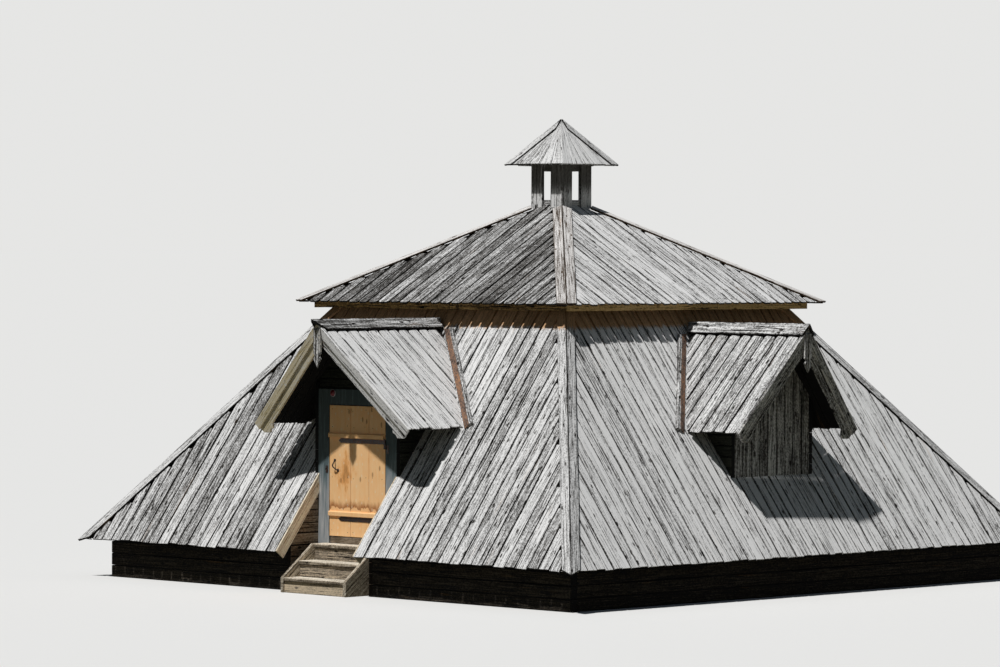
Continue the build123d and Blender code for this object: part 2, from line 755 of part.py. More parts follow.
def latch_staple():
    """A plate with a hanging ring on the left-hand post."""
    half_width = STAPLE_PLATE_WIDTH / 2
    half_height = STAPLE_PLATE_HEIGHT / 2
    plate = block(STAPLE_U - half_width, STAPLE_U + half_width, wall_face,
                  wall_face + STAPLE_PLATE_THICK, staple_z - half_height, staple_z + half_height)
    ring_d = wall_face + STAPLE_PLATE_THICK + STAPLE_ROD_RADIUS - STAPLE_RING_SEAT
    ring = Torus(STAPLE_RING_RADIUS, STAPLE_ROD_RADIUS)
    return plate + Pos(STAPLE_U, -ring_d, staple_z) * Rotation(90, 0, 0) * ring


def wall_lamp():
    """A small round lamp: a rim and the cap of a ball as its glass."""
    plane = Plane(origin=(LAMP_U, -wall_face, lamp_z), z_dir=(0, -1, 0))
    rim = extrude(plane * Circle(LAMP_RADIUS), amount=LAMP_RIM_DEPTH, dir=(0, -1, 0))
    ball_radius = (LAMP_DOME_RADIUS ** 2 + LAMP_DOME_DEPTH ** 2) / (2 * LAMP_DOME_DEPTH)
    centre_d = wall_face + LAMP_RIM_DEPTH + LAMP_DOME_DEPTH - ball_radius
    ball = Pos(LAMP_U, -centre_d, lamp_z) * Sphere(ball_radius)
    front = plane.offset(LAMP_RIM_DEPTH) * Circle(LAMP_RADIUS)
    return rim + (ball & extrude(front, amount=LAMP_DOME_DEPTH, dir=(0, -1, 0)))


def cupola_corner_board():
    """An angle of boards at one corner of the lantern, between the two roofs."""
    far = CUPOLA_HALF
    near = CUPOLA_HALF - CUPOLA_BOARD_THICK
    end = CUPOLA_HALF - CUPOLA_BOARD_WIDTH
    plan = [(far, far), (far, end), (near, end), (near, near), (end, near), (end, far)]
    angle = plan_outline(plan, roof_edge_z, cupola_top.z_at(0))
    for side in (FRONT, RIGHT):
        angle -= turned(roof_top.inside(), side)
        angle -= turned(cupola_under.outside(), side)
    return angle


def lantern_ring(outline):
    """A square ring inside the lantern's corner boards from an outline of (d, z) points."""
    whole = face_outline(outline, -FAR, FAR) & wedge()
    ring = whole
    for angle in QUARTERS[1:]:
        ring += turned(whole, angle)
    return ring


def cupola_curb():
    """The low curb round the vent, seated on the upper roof."""
    high = roof_top.z_at(CUPOLA_HALF) + CUPOLA_CURB_RISE
    return lantern_ring([(curb_inner, roof_top.z_at(curb_inner)),
                         (curb_outer, roof_top.z_at(curb_outer)),
                         (curb_outer, high), (curb_inner, high)])


def cupola_head():
    """The ring that ties the corner boards under the lantern's roof."""
    low = cupola_eave_z - CUPOLA_HEAD_DROP
    high = low + CUPOLA_HEAD_HEIGHT
    return lantern_ring([(curb_inner, low), (curb_outer, low), (curb_outer, high),
                         (curb_inner, high)])


def cupola_roof():
    side = roof_side(cupola_top, cupola_under, 0)
    whole = side
    for angle in QUARTERS[1:]:
        whole += turned(side, angle)
    return whole


def cupola_hip_boards():
    """Eight boards over the lantern's hips, joined at the point that they share."""
    board = hip_board(cupola_top, CUPOLA_HIP_WIDTH, CUPOLA_HIP_THICK, CUPOLA_HIP_TIP,
                      CUPOLA_HIP_HEEL, 0)
    pieces = both_hips(board)
    whole = pieces[0]
    for piece in pieces[1:]:
        whole += piece
    return whole


def save(node, shape):
    """Writes one node: a solid, or several that do not touch."""
    pieces = shape if isinstance(shape, list) else [shape]
    solids = [solid for piece in pieces for solid in piece.solids()]
    whole = solids[0] if len(solids) == 1 else Compound(children=solids)
    export_step(whole, f"parts/{node}.step")


def main():
    os.makedirs("parts", exist_ok=True)

    save("floor", floor())
    save("base_walls_beside_doorway", base_wall_beside_doorway())
    save("base_wall_back", turned(base_wall(), BACK))
    save("base_walls_left_and_right", on_sides(base_wall(), LEFT, RIGHT))
    save("hip_rafters", hip_rafters())
    save("ring_beams", ring_beams())

    save("skirt_beside_doorway", skirt_beside_doorway())
    save("skirt_over_doorway", skirt_over_doorway())
    save("skirt_back", turned(skirt_side(), BACK))
    save("skirt_left_and_right", on_sides(skirt_side(), LEFT, RIGHT))
    save("skirt_hip_boards", skirt_hip_boards())

    upper_side = roof_side(roof_top, roof_under, curb_inner)
    save("roof_front_and_back", on_sides(upper_side, FRONT, BACK))
    save("roof_left_and_right", on_sides(upper_side, LEFT, RIGHT))
    save("roof_hip_boards", roof_hip_boards())
    save("roof_fascia", fascia())

    save("cupola_curb", cupola_curb())
    save("cupola_corner_boards", all_round(cupola_corner_board()))
    save("cupola_head", cupola_head())
    save("cupola_roof", cupola_roof())
    save("cupola_hip_boards", cupola_hip_boards())

    save("dormer_roofs", both_halves(dormer_slope))
    save("dormer_ridge_boards", both_dormers(dormer_ridge_board))
    save("dormer_valley_boards", both_halves(valley_board))
    save("dormer_bargeboards", both_halves(bargeboard))
    save("dormer_verge_strips", both_halves(verge_strip))
    save("dormer_apex_boards", both_dormers(apex_board))
    save("dormer_cheeks", both_halves(dormer_cheek))
    save("side_dormer_front_wall", blind_front_wall())

    save("door_gable_wall", gable_wall())
    save("door_lintel", lintel())
    save("door_posts", [door_post(), mirrored(door_post())])
    save("door_sill", door_sill())
    save("recess_cheeks", [recess_cheek(), mirrored(recess_cheek())])
    save("opening_trim_boards", [opening_trim(), mirrored(opening_trim())])
    save("wall_lamp", wall_lamp())
    save("hinge_pintles", [pintle(top) for top in ledge_tops])
    save("latch_staple", latch_staple())

    save("step_stringers", [step_stringer(), mirrored(step_stringer())])
    save("step_treads", step_treads())
    save("step_risers", step_risers())

    save("door_leaf", door_leaf())
    save("door_ledges", [door_ledge(top) for top in ledge_tops])
    save("door_strap_hinges", [strap_hinge(top) for top in ledge_tops])
    save("door_handle", door_handle())


main()
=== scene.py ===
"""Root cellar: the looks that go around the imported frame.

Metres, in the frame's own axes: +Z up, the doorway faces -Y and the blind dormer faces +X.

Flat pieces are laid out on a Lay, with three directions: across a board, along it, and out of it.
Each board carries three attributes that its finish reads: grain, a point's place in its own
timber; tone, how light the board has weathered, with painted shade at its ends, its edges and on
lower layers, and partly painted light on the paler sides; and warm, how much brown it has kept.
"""
from math import atan2, cos, hypot, pi, radians, sin, sqrt, tan

import bpy
import numpy as np
from bpy.props import FloatProperty, FloatVectorProperty, PointerProperty
from bpy.types import Operator, Panel, PropertyGroup
from mathutils import Matrix


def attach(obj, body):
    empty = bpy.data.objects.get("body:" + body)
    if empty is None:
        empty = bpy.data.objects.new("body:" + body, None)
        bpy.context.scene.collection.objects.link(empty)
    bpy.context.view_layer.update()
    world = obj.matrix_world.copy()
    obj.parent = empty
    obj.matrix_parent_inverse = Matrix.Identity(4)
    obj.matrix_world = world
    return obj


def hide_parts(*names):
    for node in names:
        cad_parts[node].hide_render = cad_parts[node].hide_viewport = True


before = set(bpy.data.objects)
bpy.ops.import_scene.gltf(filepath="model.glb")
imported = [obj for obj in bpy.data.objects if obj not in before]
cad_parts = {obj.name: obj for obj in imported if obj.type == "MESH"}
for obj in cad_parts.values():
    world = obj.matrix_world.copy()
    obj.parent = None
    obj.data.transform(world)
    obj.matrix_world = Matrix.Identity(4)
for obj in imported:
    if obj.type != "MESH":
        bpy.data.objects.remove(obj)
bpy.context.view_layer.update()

bl_info = {
    "name": "Root cellar",
    "version": (1, 0, 0),
    "blender": (4, 5, 0),
    "location": "3D View > Sidebar > Cellar",
    "description": "Boards, timbers, ironwork and finishes of a square timber root cellar",
    "category": "Object",
}

# Shape of the frame. An angle comes from its slope's rise and run.
SKIRT_HALF, SKIRT_EDGE_Z = 4.49, 0.52
SKIRT_ANGLE, SKIRT_THICK = atan2(3.165, 2.44), 0.05
ROOF_HALF, ROOF_EDGE_Z = 2.47, 3.685
ROOF_ANGLE, ROOF_THICK = atan2(1.41, 2.47), 0.05
LANTERN_HALF = 0.284
LANTERN_EAVE_HALF, LANTERN_EAVE_Z = 0.511, 5.5048
LANTERN_ANGLE, LANTERN_ROOF_THICK = atan2(0.585, LANTERN_EAVE_HALF), 0.03
DORMER_THICK = 0.045
RIDGE_WIDTH, RIDGE_THICK = 0.15, 0.03
OPENING_HALF, OPENING_TOP_Z = 0.72, 2.625
PLANK_THICK = 0.06
CHEEK_OUTER = OPENING_HALF + PLANK_THICK
WALL_FACE, WALL_BACK = 3.74, 3.6
LINTEL_TOP = 2.575
BASE_OUTER, BASE_INNER = 4.22, 4.10
FLOOR_TOP, FLOOR_THICK = 0.685, 0.05
BUILDING, DOOR = "building", "door"
FRONT, RIGHT, BACK, LEFT = SIDES = 0.0, pi / 2, pi, 3 * pi / 2

# How boards are laid: their pitch and gaps where the user doesn't choose them, the shortest edge
# that a board may have, and how far apart two boards may lie in the pattern of the grain
BROAD_PITCH = 0.16
PLANK_GAP, TIGHT_GAP, UNDER_GAP = 0.006, 0.004, 0.012
STUB = 0.004
GRAIN_APART = 40.0


def turn_about_up(angle):
    """What turns points, written as rows, by an angle about the upright axis."""
    return np.array([[cos(angle), sin(angle), 0], [-sin(angle), cos(angle), 0], [0, 0, 1]])


class Lay:
    """Where flat work lies: an origin and three directions, across, along and out."""

    def __init__(self, origin, across, along, out):
        self.origin = np.array(origin, float)
        self.axes = np.array([across, along, out], float)

    def place(self, local):
        """World points from (across, along, out) ones: the origin plus the three directions."""
        return self.origin + local @ self.axes

    def turned(self, angle):
        """The same place on another side, a turn about the building's upright axis away."""
        turn = turn_about_up(angle)
        return Lay(self.origin @ turn, *(self.axes @ turn))

    def mirrored(self):
        """The same place on the other half of its side, x changed to -x."""
        flip = np.diag([-1.0, 1.0, 1.0])
        return Lay(self.origin @ flip, *(self.axes @ flip))

    def pair(self):
        """The place and its mirror image."""
        return self, self.mirrored()

    def shifted(self, across, along, out=0.0):
        """The same directions from another point of the place."""
        return Lay(self.place(np.array([across, along, out])), *self.axes)

    def left_handed(self):
        """Whether across, along and out follow the left hand, as after a mirror."""
        return np.linalg.det(self.axes) < 0


class Slope:
    """A roof plane that faces -Y: its edge stands at edge_d out from the axis and edge_z up."""

    def __init__(self, edge_d, edge_z, angle, thick):
        self.edge_d, self.edge_z, self.angle, self.thick = edge_d, edge_z, angle, thick
        self.run, self.rise = cos(angle), sin(angle)

    def lay(self):
        """Across runs to the right, along runs up the slope from its edge."""
        return Lay((0, -self.edge_d, self.edge_z), (1, 0, 0), (0, self.run, self.rise),
                   (0, -self.rise, self.run))

    def z_at(self, d):
        """Height of the plane d out from the axis."""
        return self.edge_z + (self.edge_d - d) * tan(self.angle)

    def d_at(self, z):
        """Distance of the plane from the axis at a height."""
        return self.edge_d - (z - self.edge_z) / tan(self.angle)

    def up_to(self, d):
        """Distance up the slope to where it stands d out from the axis."""
        return (self.edge_d - d) / self.run

    def lowered(self, depth):
        """The plane that lies a depth inside this one, square to it."""
        return Slope(self.edge_d - depth * self.rise, self.edge_z - depth * self.run, self.angle,
                     self.thick)

    def underside(self):
        """The plane of the boards' lower faces."""
        return self.lowered(self.thick)


skirt = Slope(SKIRT_HALF, SKIRT_EDGE_Z, SKIRT_ANGLE, SKIRT_THICK)
roof = Slope(ROOF_HALF, ROOF_EDGE_Z, ROOF_ANGLE, ROOF_THICK)
lantern_roof = Slope(LANTERN_EAVE_HALF, LANTERN_EAVE_Z, LANTERN_ANGLE, LANTERN_ROOF_THICK)


class Dormer:
    """A dormer's shape as its front shows it: u to the right, z up, d out from the axis.

    The gable end leans back by rake_run over its rise. The ridge boards run past it by the
    overshoot, and their outer corners are cut off by the bevel.
    """

    def __init__(self, side, ridge_z, half, rise, ridge_out, rake_run, overshoot, bevel):
        self.side, self.ridge_z, self.half, self.rise = side, ridge_z, half, rise
        self.ridge_out, self.rake_run = ridge_out, rake_run
        self.tip_out, self.bevel = ridge_out + overshoot, bevel
        self.eave_z = ridge_z - rise
        self.angle = atan2(rise, half)
        self.length = hypot(rise, half)
        self.rake_angle = atan2(rake_run, rise)

    def top_z(self, u):
        """Height of the slopes' upper faces."""
        return self.ridge_z - abs(u) * tan(self.angle)

    def under_z(self, u):
        """Height of the slopes' undersides."""
        return self.top_z(u) - DORMER_THICK / cos(self.angle)

    def slope_lay(self):
        """The right-hand slope: across runs outwards, and along up the slope to the ridge."""
        run, fall = cos(self.angle), sin(self.angle)
        return Lay((0, 0, self.ridge_z), (0, -1, 0), (-run, 0, fall), (fall, 0, run))

    def rake_lay(self):
        """The raked gable end: across to the right, along up, from the ridge's front end."""
        run, fall = cos(self.rake_angle), sin(self.rake_angle)
        return Lay((0, -self.ridge_out, self.ridge_z), (1, 0, 0), (0, -fall, run),
                   (0, -run, -fall))

    def on_rake(self, u, z):
        """A point of the front in the rake's own coordinates, which are longer by its lean."""
        return u, (z - self.ridge_z) / cos(self.rake_angle)

    def halves(self, lay):
        """A right-hand lay and its mirror image, on this dormer's side of the building."""
        return [half.turned(self.side) for half in lay.pair()]


DOOR_DORMER = Dormer(side=FRONT, ridge_z=3.447, half=1.42, rise=1.315, ridge_out=4.42,
                     rake_run=0.252, overshoot=0.13, bevel=0.17)
BLIND_DORMER = Dormer(side=RIGHT, ridge_z=3.4, half=1.15, rise=1.32, ridge_out=4.31,
                      rake_run=0.165, overshoot=0.058, bevel=0.03)
DORMERS = (DOOR_DORMER, BLIND_DORMER)


def wall_lay(d):
    """Upright boards on a wall that faces -Y, d out from the axis: along runs up."""
    return Lay((0, -d, 0), (1, 0, 0), (0, 0, 1), (0, -1, 0))


def course_lay(d):
    """Level boards on a wall that faces -Y, d out from the axis: along runs to the right."""
    return Lay((0, -d, 0), (0, 0, 1), (1, 0, 0), (0, -1, 0))


def cheek_lay(u, facing=1):
    """Level boards on a wall at x = u that faces +X, or -X: along runs outwards, to -Y."""
    return Lay((u, 0, 0), (0, 0, 1), (0, -1, 0), (facing, 0, 0))


def profile_lay(u, d=0.0, facing=1):
    """An outline seen from the side, at x = u and d out: across runs to -Y, and along up."""
    return Lay((u, -d, 0), (0, -1, 0), (0, 0, 1), (facing, 0, 0))


def level_lay(z):
    """Boards laid flat with their tops at z: across runs to the right, along runs to -Y."""
    return Lay((0, 0, z), (1, 0, 0), (0, -1, 0), (0, 0, 1))


def tread_lay(z):
    """Treads with their tops at z: across runs outwards, to -Y, and along to the right."""
    return Lay((0, 0, z), (0, -1, 0), (1, 0, 0), (0, 0, 1))


WORLD = Lay((0, 0, 0), (1, 0, 0), (0, 1, 0), (0, 0, 1))


# Surfaces


class Heap:
    """Surfaces gathered into one mesh, with the attributes that the finishes read."""

    def __init__(self, seed):
        self.rng = np.random.default_rng(seed)
        self.points, self.grain, self.tone, self.warm = [], [], [], []
        self.faces = []
        self.count = 0

    def add(self, lay, rings, grain, tone=0.0, warm=0.0, clockwise=False):
        """Closed forms from rings of points, (..., ring, point, 3): quads between neighbouring
        rings, and one face over the first ring and one over the last.

        Seen from beyond the last ring, the points of a ring run anticlockwise, unless they are
        said to run clockwise. grain has the shape of rings; tone and warm fit their points.
        """
        index = np.arange(rings.size // 3).reshape(rings.shape[:-1]) + self.count
        after = np.roll(index, -1, axis=-1)
        between = np.stack([index[..., :-1, :], index[..., 1:, :], after[..., 1:, :],
                            after[..., :-1, :]], axis=-1)
        for block in (between, index[..., 0, :], index[..., -1, ::-1]):
            block = block.reshape(-1, block.shape[-1])
            if clockwise == lay.left_handed():
                block = block[:, ::-1]
            self.faces.extend(block.tolist())
        self.points.append(lay.place(rings).reshape(-1, 3))
        self.grain.append(np.reshape(grain, (-1, 3)))
        self.tone.append(np.broadcast_to(tone, index.shape).ravel())
        self.warm.append(np.broadcast_to(warm, index.shape).ravel())
        self.count += index.size

    def piece(self, name, finish, body, slot, *nodes):
        """The mesh as an object that rides on a body and stands for the named nodes."""
        mesh = bpy.data.meshes.new(name)
        mesh.from_pydata(np.concatenate(self.points), [], self.faces)
        for label, kind, field, values in (("grain", "FLOAT_VECTOR", "vector", self.grain),
                                           ("tone", "FLOAT", "value", self.tone),
                                           ("warm", "FLOAT", "value", self.warm)):
            attribute = mesh.attributes.new(label, kind, "POINT")
            attribute.data.foreach_set(field, np.concatenate(values).astype(np.float32).ravel())
        mesh.materials.append(finish)
        mesh.update()
        return show(bpy.data.objects.new(name, mesh), body, slot, *nodes)


def show(thing, body, slot, *nodes):
    """Puts an object in the scene, on its body, and hides the frame's nodes that it stands for."""
    bpy.context.scene.collection.objects.link(thing)
    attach(thing, body)
    if nodes:
        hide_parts(*nodes)
    return thing


def slow_wave(rng, shape, distance, size):
    """A sum of two sines along a distance, a long one and a short one that counts for less, with
    lengths and phases of their own per board.
    """
    total = 0.0
    for reach, share in ((2.6, 0.65), (0.9, 0.35)):
        length = reach * rng.uniform(0.7, 1.4, shape)
        phase = rng.uniform(0, 2 * pi, shape)
        total = total + share * np.sin(2 * pi * distance / length + phase)
    return size * total


# A board's profile: share of the width, bevel sideways, share of the height, bevel downwards,
# and how much darker it is painted: weathering of the edges together with painted shade in the
# joints
PROFILE = np.array([(0, 0, 0, 0, 0.9), (1, 0, 0, 0, 0.9), (1, 0, 1, -1, 0.6), (1, -1, 1, 0, 0.2),
                    (0.93, 0, 1, 0, 0), (0.5, 0, 1, 0, 0), (0.07, 0, 1, 0, 0),
                    (0, 1, 1, 0, 0.2), (0, 0, 1, -1, 0.6)])

# A board's ends: how much darker they are painted, as painted shade, the share of the bevel that
# their edges lose, the share of the length over which they lose it, and the distance over which a
# pinch works
END_PAINTED_SHADE, END_BEVEL, END_SHARE, PINCH_LENGTH = 0.35, 0.6, 0.0006, 0.03


def boards(heap, lay, corners, under, over, tone, warm=0.0, bevel=0.004, wave=0.003, bow=0.0,
           stations=6, mitre=0.0, pinch=0.0, edges=1.0):
    """Many boards at once, each from four corners (across, along): low left, low right, high
    right, high left.

    A point at profile share t and station share s is the blend of the four corners, moved
    sideways by a slow wave of its nearer edge, and raised from under to over by the profile's
    height, plus a slow bow. A mitre leans the left edge outwards as the board gets thicker, and
    a pinch narrows both ends over their last stretch. The ends are painted darker as painted
    shade; the edges are darker partly by weathering and partly as painted shade in the joints.
    """
    rng = heap.rng
    corners = np.asarray(corners, float)
    n = len(corners)
    own = (n, 1, 1)

    def per_board(value):
        return np.broadcast_to(value, n).reshape(own)

    t, side_bevel, height, top_bevel, darker = (column[None, None, :] for column in PROFILE.T)
    middles = corners[:, 2:].mean(axis=1) - corners[:, :2].mean(axis=1)
    length = np.linalg.norm(middles, axis=1).reshape(own)
    width = np.linalg.norm(corners[:, 1] - corners[:, 0], axis=1).reshape(own)
    inner = np.linspace(0, 1, stations + 1)[1:-1]
    near = np.minimum(0.5 / stations, PINCH_LENGTH / length) * [[[0], [0], [1]]]
    near[:, 1] = END_SHARE
    s = np.concatenate([near, np.tile(inner[:, None], own), 1 - near[:, ::-1]], axis=1)
    butt, last = np.zeros_like(s), np.zeros_like(s)
    butt[:, [0, -1]] = last[:, [0, 1, -2, -1]] = 1.0
    low_left, low_right, high_right, high_left = (corners[:, None, None, i, :] for i in range(4))
    low = low_left + (low_right - low_left) * t[..., None]
    high = high_left + (high_right - high_left) * t[..., None]
    flat = low + (high - low) * s[..., None]
    distance = s * length
    left_wave = slow_wave(rng, own, distance, wave) * (mitre == 0.0)
    right_wave = slow_wave(rng, own, distance, wave)
    under, over = per_board(under), per_board(over)
    c = under + (over - under) * height + bevel * (top_bevel - butt * END_BEVEL * height)
    c = c + slow_wave(rng, own, distance, bow)
    a = flat[..., 0] + bevel * side_bevel + left_wave * (1 - t) + right_wave * t
    a = a - mitre * c * (1 - t) + pinch * last * (1 - 2 * t)
    local = np.stack(np.broadcast_arrays(a, flat[..., 1], c), axis=-1)
    grain = np.stack(np.broadcast_arrays(t * width, distance, c), axis=-1)
    grain = grain + rng.uniform(0, GRAIN_APART, (n, 1, 1, 3))
    # Painted shade darkens the ends; the edges are darker by weathering and painted shade
    tone = per_board(tone) - END_PAINTED_SHADE * butt - edges * darker
    heap.add(lay, local, grain, tone, per_board(warm), clockwise=True)


def slab(heap, lay, outline, under, over, tone, warm=0.0, bevel=0.004, wear=0.0015,
         spacing=0.06, grain_turn=0.0):
    """A piece cut from a board to a closed outline of (across, along) points.

    The outline is divided into equal short runs, each point moves by a random wear along the
    edge's normal, and the rings rise from under to over with the last one set in by the bevel.
    """
    corners = np.asarray(outline, float)
    area = np.roll(corners, -1, axis=0)
    area = (corners[:, 0] * area[:, 1] - corners[:, 1] * area[:, 0]).sum()
    corners = corners if area > 0 else corners[::-1]
    runs = np.roll(corners, -1, axis=0) - corners
    counts = np.maximum(1, np.round(np.linalg.norm(runs, axis=1) / spacing)).astype(int)
    start = np.repeat(np.arange(len(corners)), counts)
    share = np.concatenate([np.arange(k) / k for k in counts])
    flat = corners[start] + runs[start] * share[:, None]
    ahead = np.roll(flat, -1, axis=0) - flat
    ahead = ahead / np.linalg.norm(ahead, axis=1)[:, None]
    behind = np.roll(ahead, 1, axis=0)
    bisector = np.stack([-(ahead + behind)[:, 1], (ahead + behind)[:, 0]], axis=1)
    bisector = bisector / np.maximum(0.5, (bisector ** 2).sum(axis=1, keepdims=True) / 2)
    flat = flat + bisector * heap.rng.uniform(-wear, wear, (len(flat), 1))
    rings = [(flat, under), (flat, over - bevel), (flat + bisector * bevel, over)]
    local = np.stack([np.column_stack([ring, np.full(len(ring), c)]) for ring, c in rings])
    grain = local @ turn_about_up(-grain_turn) + heap.rng.uniform(0, GRAIN_APART, 3)
    heap.add(lay, local, grain, tone, warm)


def ring_angles(around):
    """Angles of points spaced evenly round a circle."""
    return np.linspace(0, 2 * pi, around, endpoint=False)


def tube(heap, path, radius):
    """A round bar along a path of points: circles square to the path's direction at each point,
    measured from a fixed direction that the path never takes.
    """
    never, around = (0.31, 0.52, 0.79), 10
    ahead = np.gradient(path, axis=0)
    ahead = ahead / np.linalg.norm(ahead, axis=1)[:, None]
    first = np.cross(ahead, never)
    first = first / np.linalg.norm(first, axis=1)[:, None]
    second = np.cross(ahead, first)
    angle = ring_angles(around)[:, None]
    circle = np.cos(angle) * first[:, None] + np.sin(angle) * second[:, None]
    local = path[:, None] + radius[:, None, None] * circle
    heap.add(WORLD, local, local)


def turned_form(heap, lay, profile, around=40):
    """A form turned on the lay's out axis from a profile of (radius, height) points."""
    angle = ring_angles(around)
    radius, height = np.array(profile).T[..., None]
    local = np.stack(np.broadcast_arrays(radius * np.cos(angle), radius * np.sin(angle), height),
                     axis=-1)
    heap.add(lay, local, local)


def spread(rng, start, stop, pitch, gap):
    """Left and right edges of boards set side by side, a little uneven in width and gap."""
    uneven, narrow, wide = 0.06, 0.6, 1.4
    count = max(1, round((stop - start) / pitch))
    edges = np.linspace(start, stop, count + 1)
    edges[1:-1] += rng.uniform(-uneven, uneven, count - 1) * pitch
    opening = gap * rng.uniform(narrow, wide, count + 1)
    opening[0] = opening[-1] = 0.0
    return edges[:-1] + opening[:-1] / 2, edges[1:] - opening[1:] / 2


def corners_at(*pairs):
    """Corners of boards from four pairs of across and along, where along may be a function of
    across. A value that isn't an array holds for every board.
    """
    ends = []
    for across, along in pairs:
        along = along(across) if callable(along) else along
        ends.append(np.stack(np.broadcast_arrays(*np.atleast_1d(across, along)), axis=-1))
    return np.stack(ends, axis=1)


def quads(left, right, low, high):
    """Corners of boards between edges: low and high are values or functions of the edge."""
    return corners_at((left, low), (right, low), (right, high), (left, high))


def courses(low, high, start, stop):
    """Corners of level planks between heights: start and stop are values or functions of them."""
    return corners_at((low, start), (high, start), (high, stop), (low, stop))


def ragged(rng, count, size):
    """Uneven board ends: each board has its own length and a slightly slanted cut."""
    own = rng.uniform(-size, size, count)
    slant = rng.uniform(-size, size, count) * 0.35
    return own - slant, own + slant


def painted_gap_shade(rng, count):
    """Boards of a lower layer are painted dark: painted shade in the gaps between the upper boards.
    """
    return rng.normal(-0.80, 0.05, count)


def slope_boards(heap, lay, slope, start, stop, pitch, gap, top, tone, low=0.0, hip=0.05,
                 rag=0.009, sunk=0.04, pinch=0.0):
    """Boards up a roof slope in two layers, their lower ends a little ragged.

    The upper layer's heads are cut square below the hips. The lower layer lies under its gaps,
    starts further up by what it is sunk, follows the hips and is painted dark, as painted shade in
    the gaps.
    """
    rng = heap.rng
    half = slope.thick / 2
    slack, tone_spread = 0.004, 0.12

    def high(across):
        return np.minimum((slope.edge_d - np.abs(across) - hip) / slope.run, top)

    for row in range(2):
        shift = pitch / 2 if row else 0.0
        left, right = spread(rng, start + shift, stop - shift, pitch, UNDER_GAP if row else gap)
        count = len(left)
        corners = quads(left, right, low, high)
        for corner, end in enumerate(ragged(rng, count, rag)):
            corners[:, corner, 1] += end + sunk * row
        if row == 0:
            corners[:, 2:, 1] = corners[:, 2:, 1].min(axis=1, keepdims=True)
        corners[:, 2:, 1] = np.maximum(corners[:, 2:, 1], corners[:, 1::-1, 1] + STUB)
        over = -row * half - rng.uniform(0, slack, count)
        # The lower layer is painted dark: painted shade in the gaps
        shade = painted_gap_shade(rng, count) if row else tone + rng.normal(0, tone_spread, count)
        boards(heap, lay, corners, over - half + slack, over, shade, wave=0.0016, bow=0.0015,
               stations=3 if row else 8, pinch=0.0 if row else pinch)


# Finishes

BROWN_AGED = ((0.25, 0.14, 0.07), (0.76, 0.47, 0.25))
# Dark greys that are painted shade on the lantern's boards under its roof
LANTERN_PAINTED_SHADE = ((0.06, 0.058, 0.052), (0.23, 0.22, 0.205))
LICHEN = (0.56, 0.46, 0.25)
BARK = ((0.0, (0.018, 0.013, 0.011)), (0.38, (0.15, 0.105, 0.085)), (0.62, (0.25, 0.155, 0.11)),
        (0.9, (0.40, 0.20, 0.10)))
# Pale fibres of the posts' lower parts: worn wood together with painted light
WORN_AND_LIT_FIBRE, BLEACHED_AND_LIT_FIBRE = (0.30, 0.32, 0.33), (0.50, 0.50, 0.49)
RAIN_STAIN, PLUG, KNOT = (0.36, 0.12, 0.03), (0.98, 0.84, 0.62), (0.22, 0.09, 0.03)
RUST = (0.085, 0.036, 0.018)
DULL_METAL, SCRATCHED_METAL = (0.10, 0.095, 0.09), (0.24, 0.23, 0.22)

# Weathered boards that don't keep the user's greys: dark, middle and light
OCHRE = ((0.06, 0.040, 0.020), (0.42, 0.26, 0.095), (0.85, 0.58, 0.26))
# SHADED and BASE_SHADED are painted shade: near-black colours for the gable's and cheeks' planks
# under the dormers and for the base timbers below the skirt's edge
SHADED = ((0.008, 0.009, 0.007), (0.026, 0.028, 0.021), (0.055, 0.054, 0.042))
BASE_SHADED = ((0.010, 0.0085, 0.007), (0.040, 0.033, 0.025), (0.085, 0.071, 0.055))
RECESS_BROWN = ((0.09, 0.068, 0.048), (0.25, 0.20, 0.15), (0.40, 0.335, 0.26))
FLOOR_BROWN = ((0.08, 0.058, 0.038), (0.22, 0.165, 0.115), (0.36, 0.285, 0.205))
RISER_BROWN = ((0.12, 0.098, 0.072), (0.33, 0.275, 0.21), (0.62, 0.50, 0.35))
TREAD_WORN = ((0.20, 0.16, 0.115), (0.50, 0.43, 0.33), (0.80, 0.73, 0.61))
NEW_CREAM = ((0.34, 0.25, 0.16), (0.74, 0.60, 0.42), (0.92, 0.82, 0.66))

# Boards below the skirt's eave turn brown between the first pair of heights. Above the second pair,
# the lantern's boards are painted dark grey: painted shade under the lantern's roof
SKIRT_SHELTER, LANTERN_SHADE_HEIGHTS = (3.34, 3.42), (5.02, 5.30)

# Rain has stained the door above its lower ledge: the stain begins within the first pair of
# heights and fades within the second. Hands have darkened it around a spot.
STAIN_BEGINS, STAIN_FADES = (1.055, 1.062), (1.17, 1.06)
HANDLED_SPOT = (-0.22, 0, 1.50)

# Old dry wood hardly shines
DRY_SHEEN = 0.08


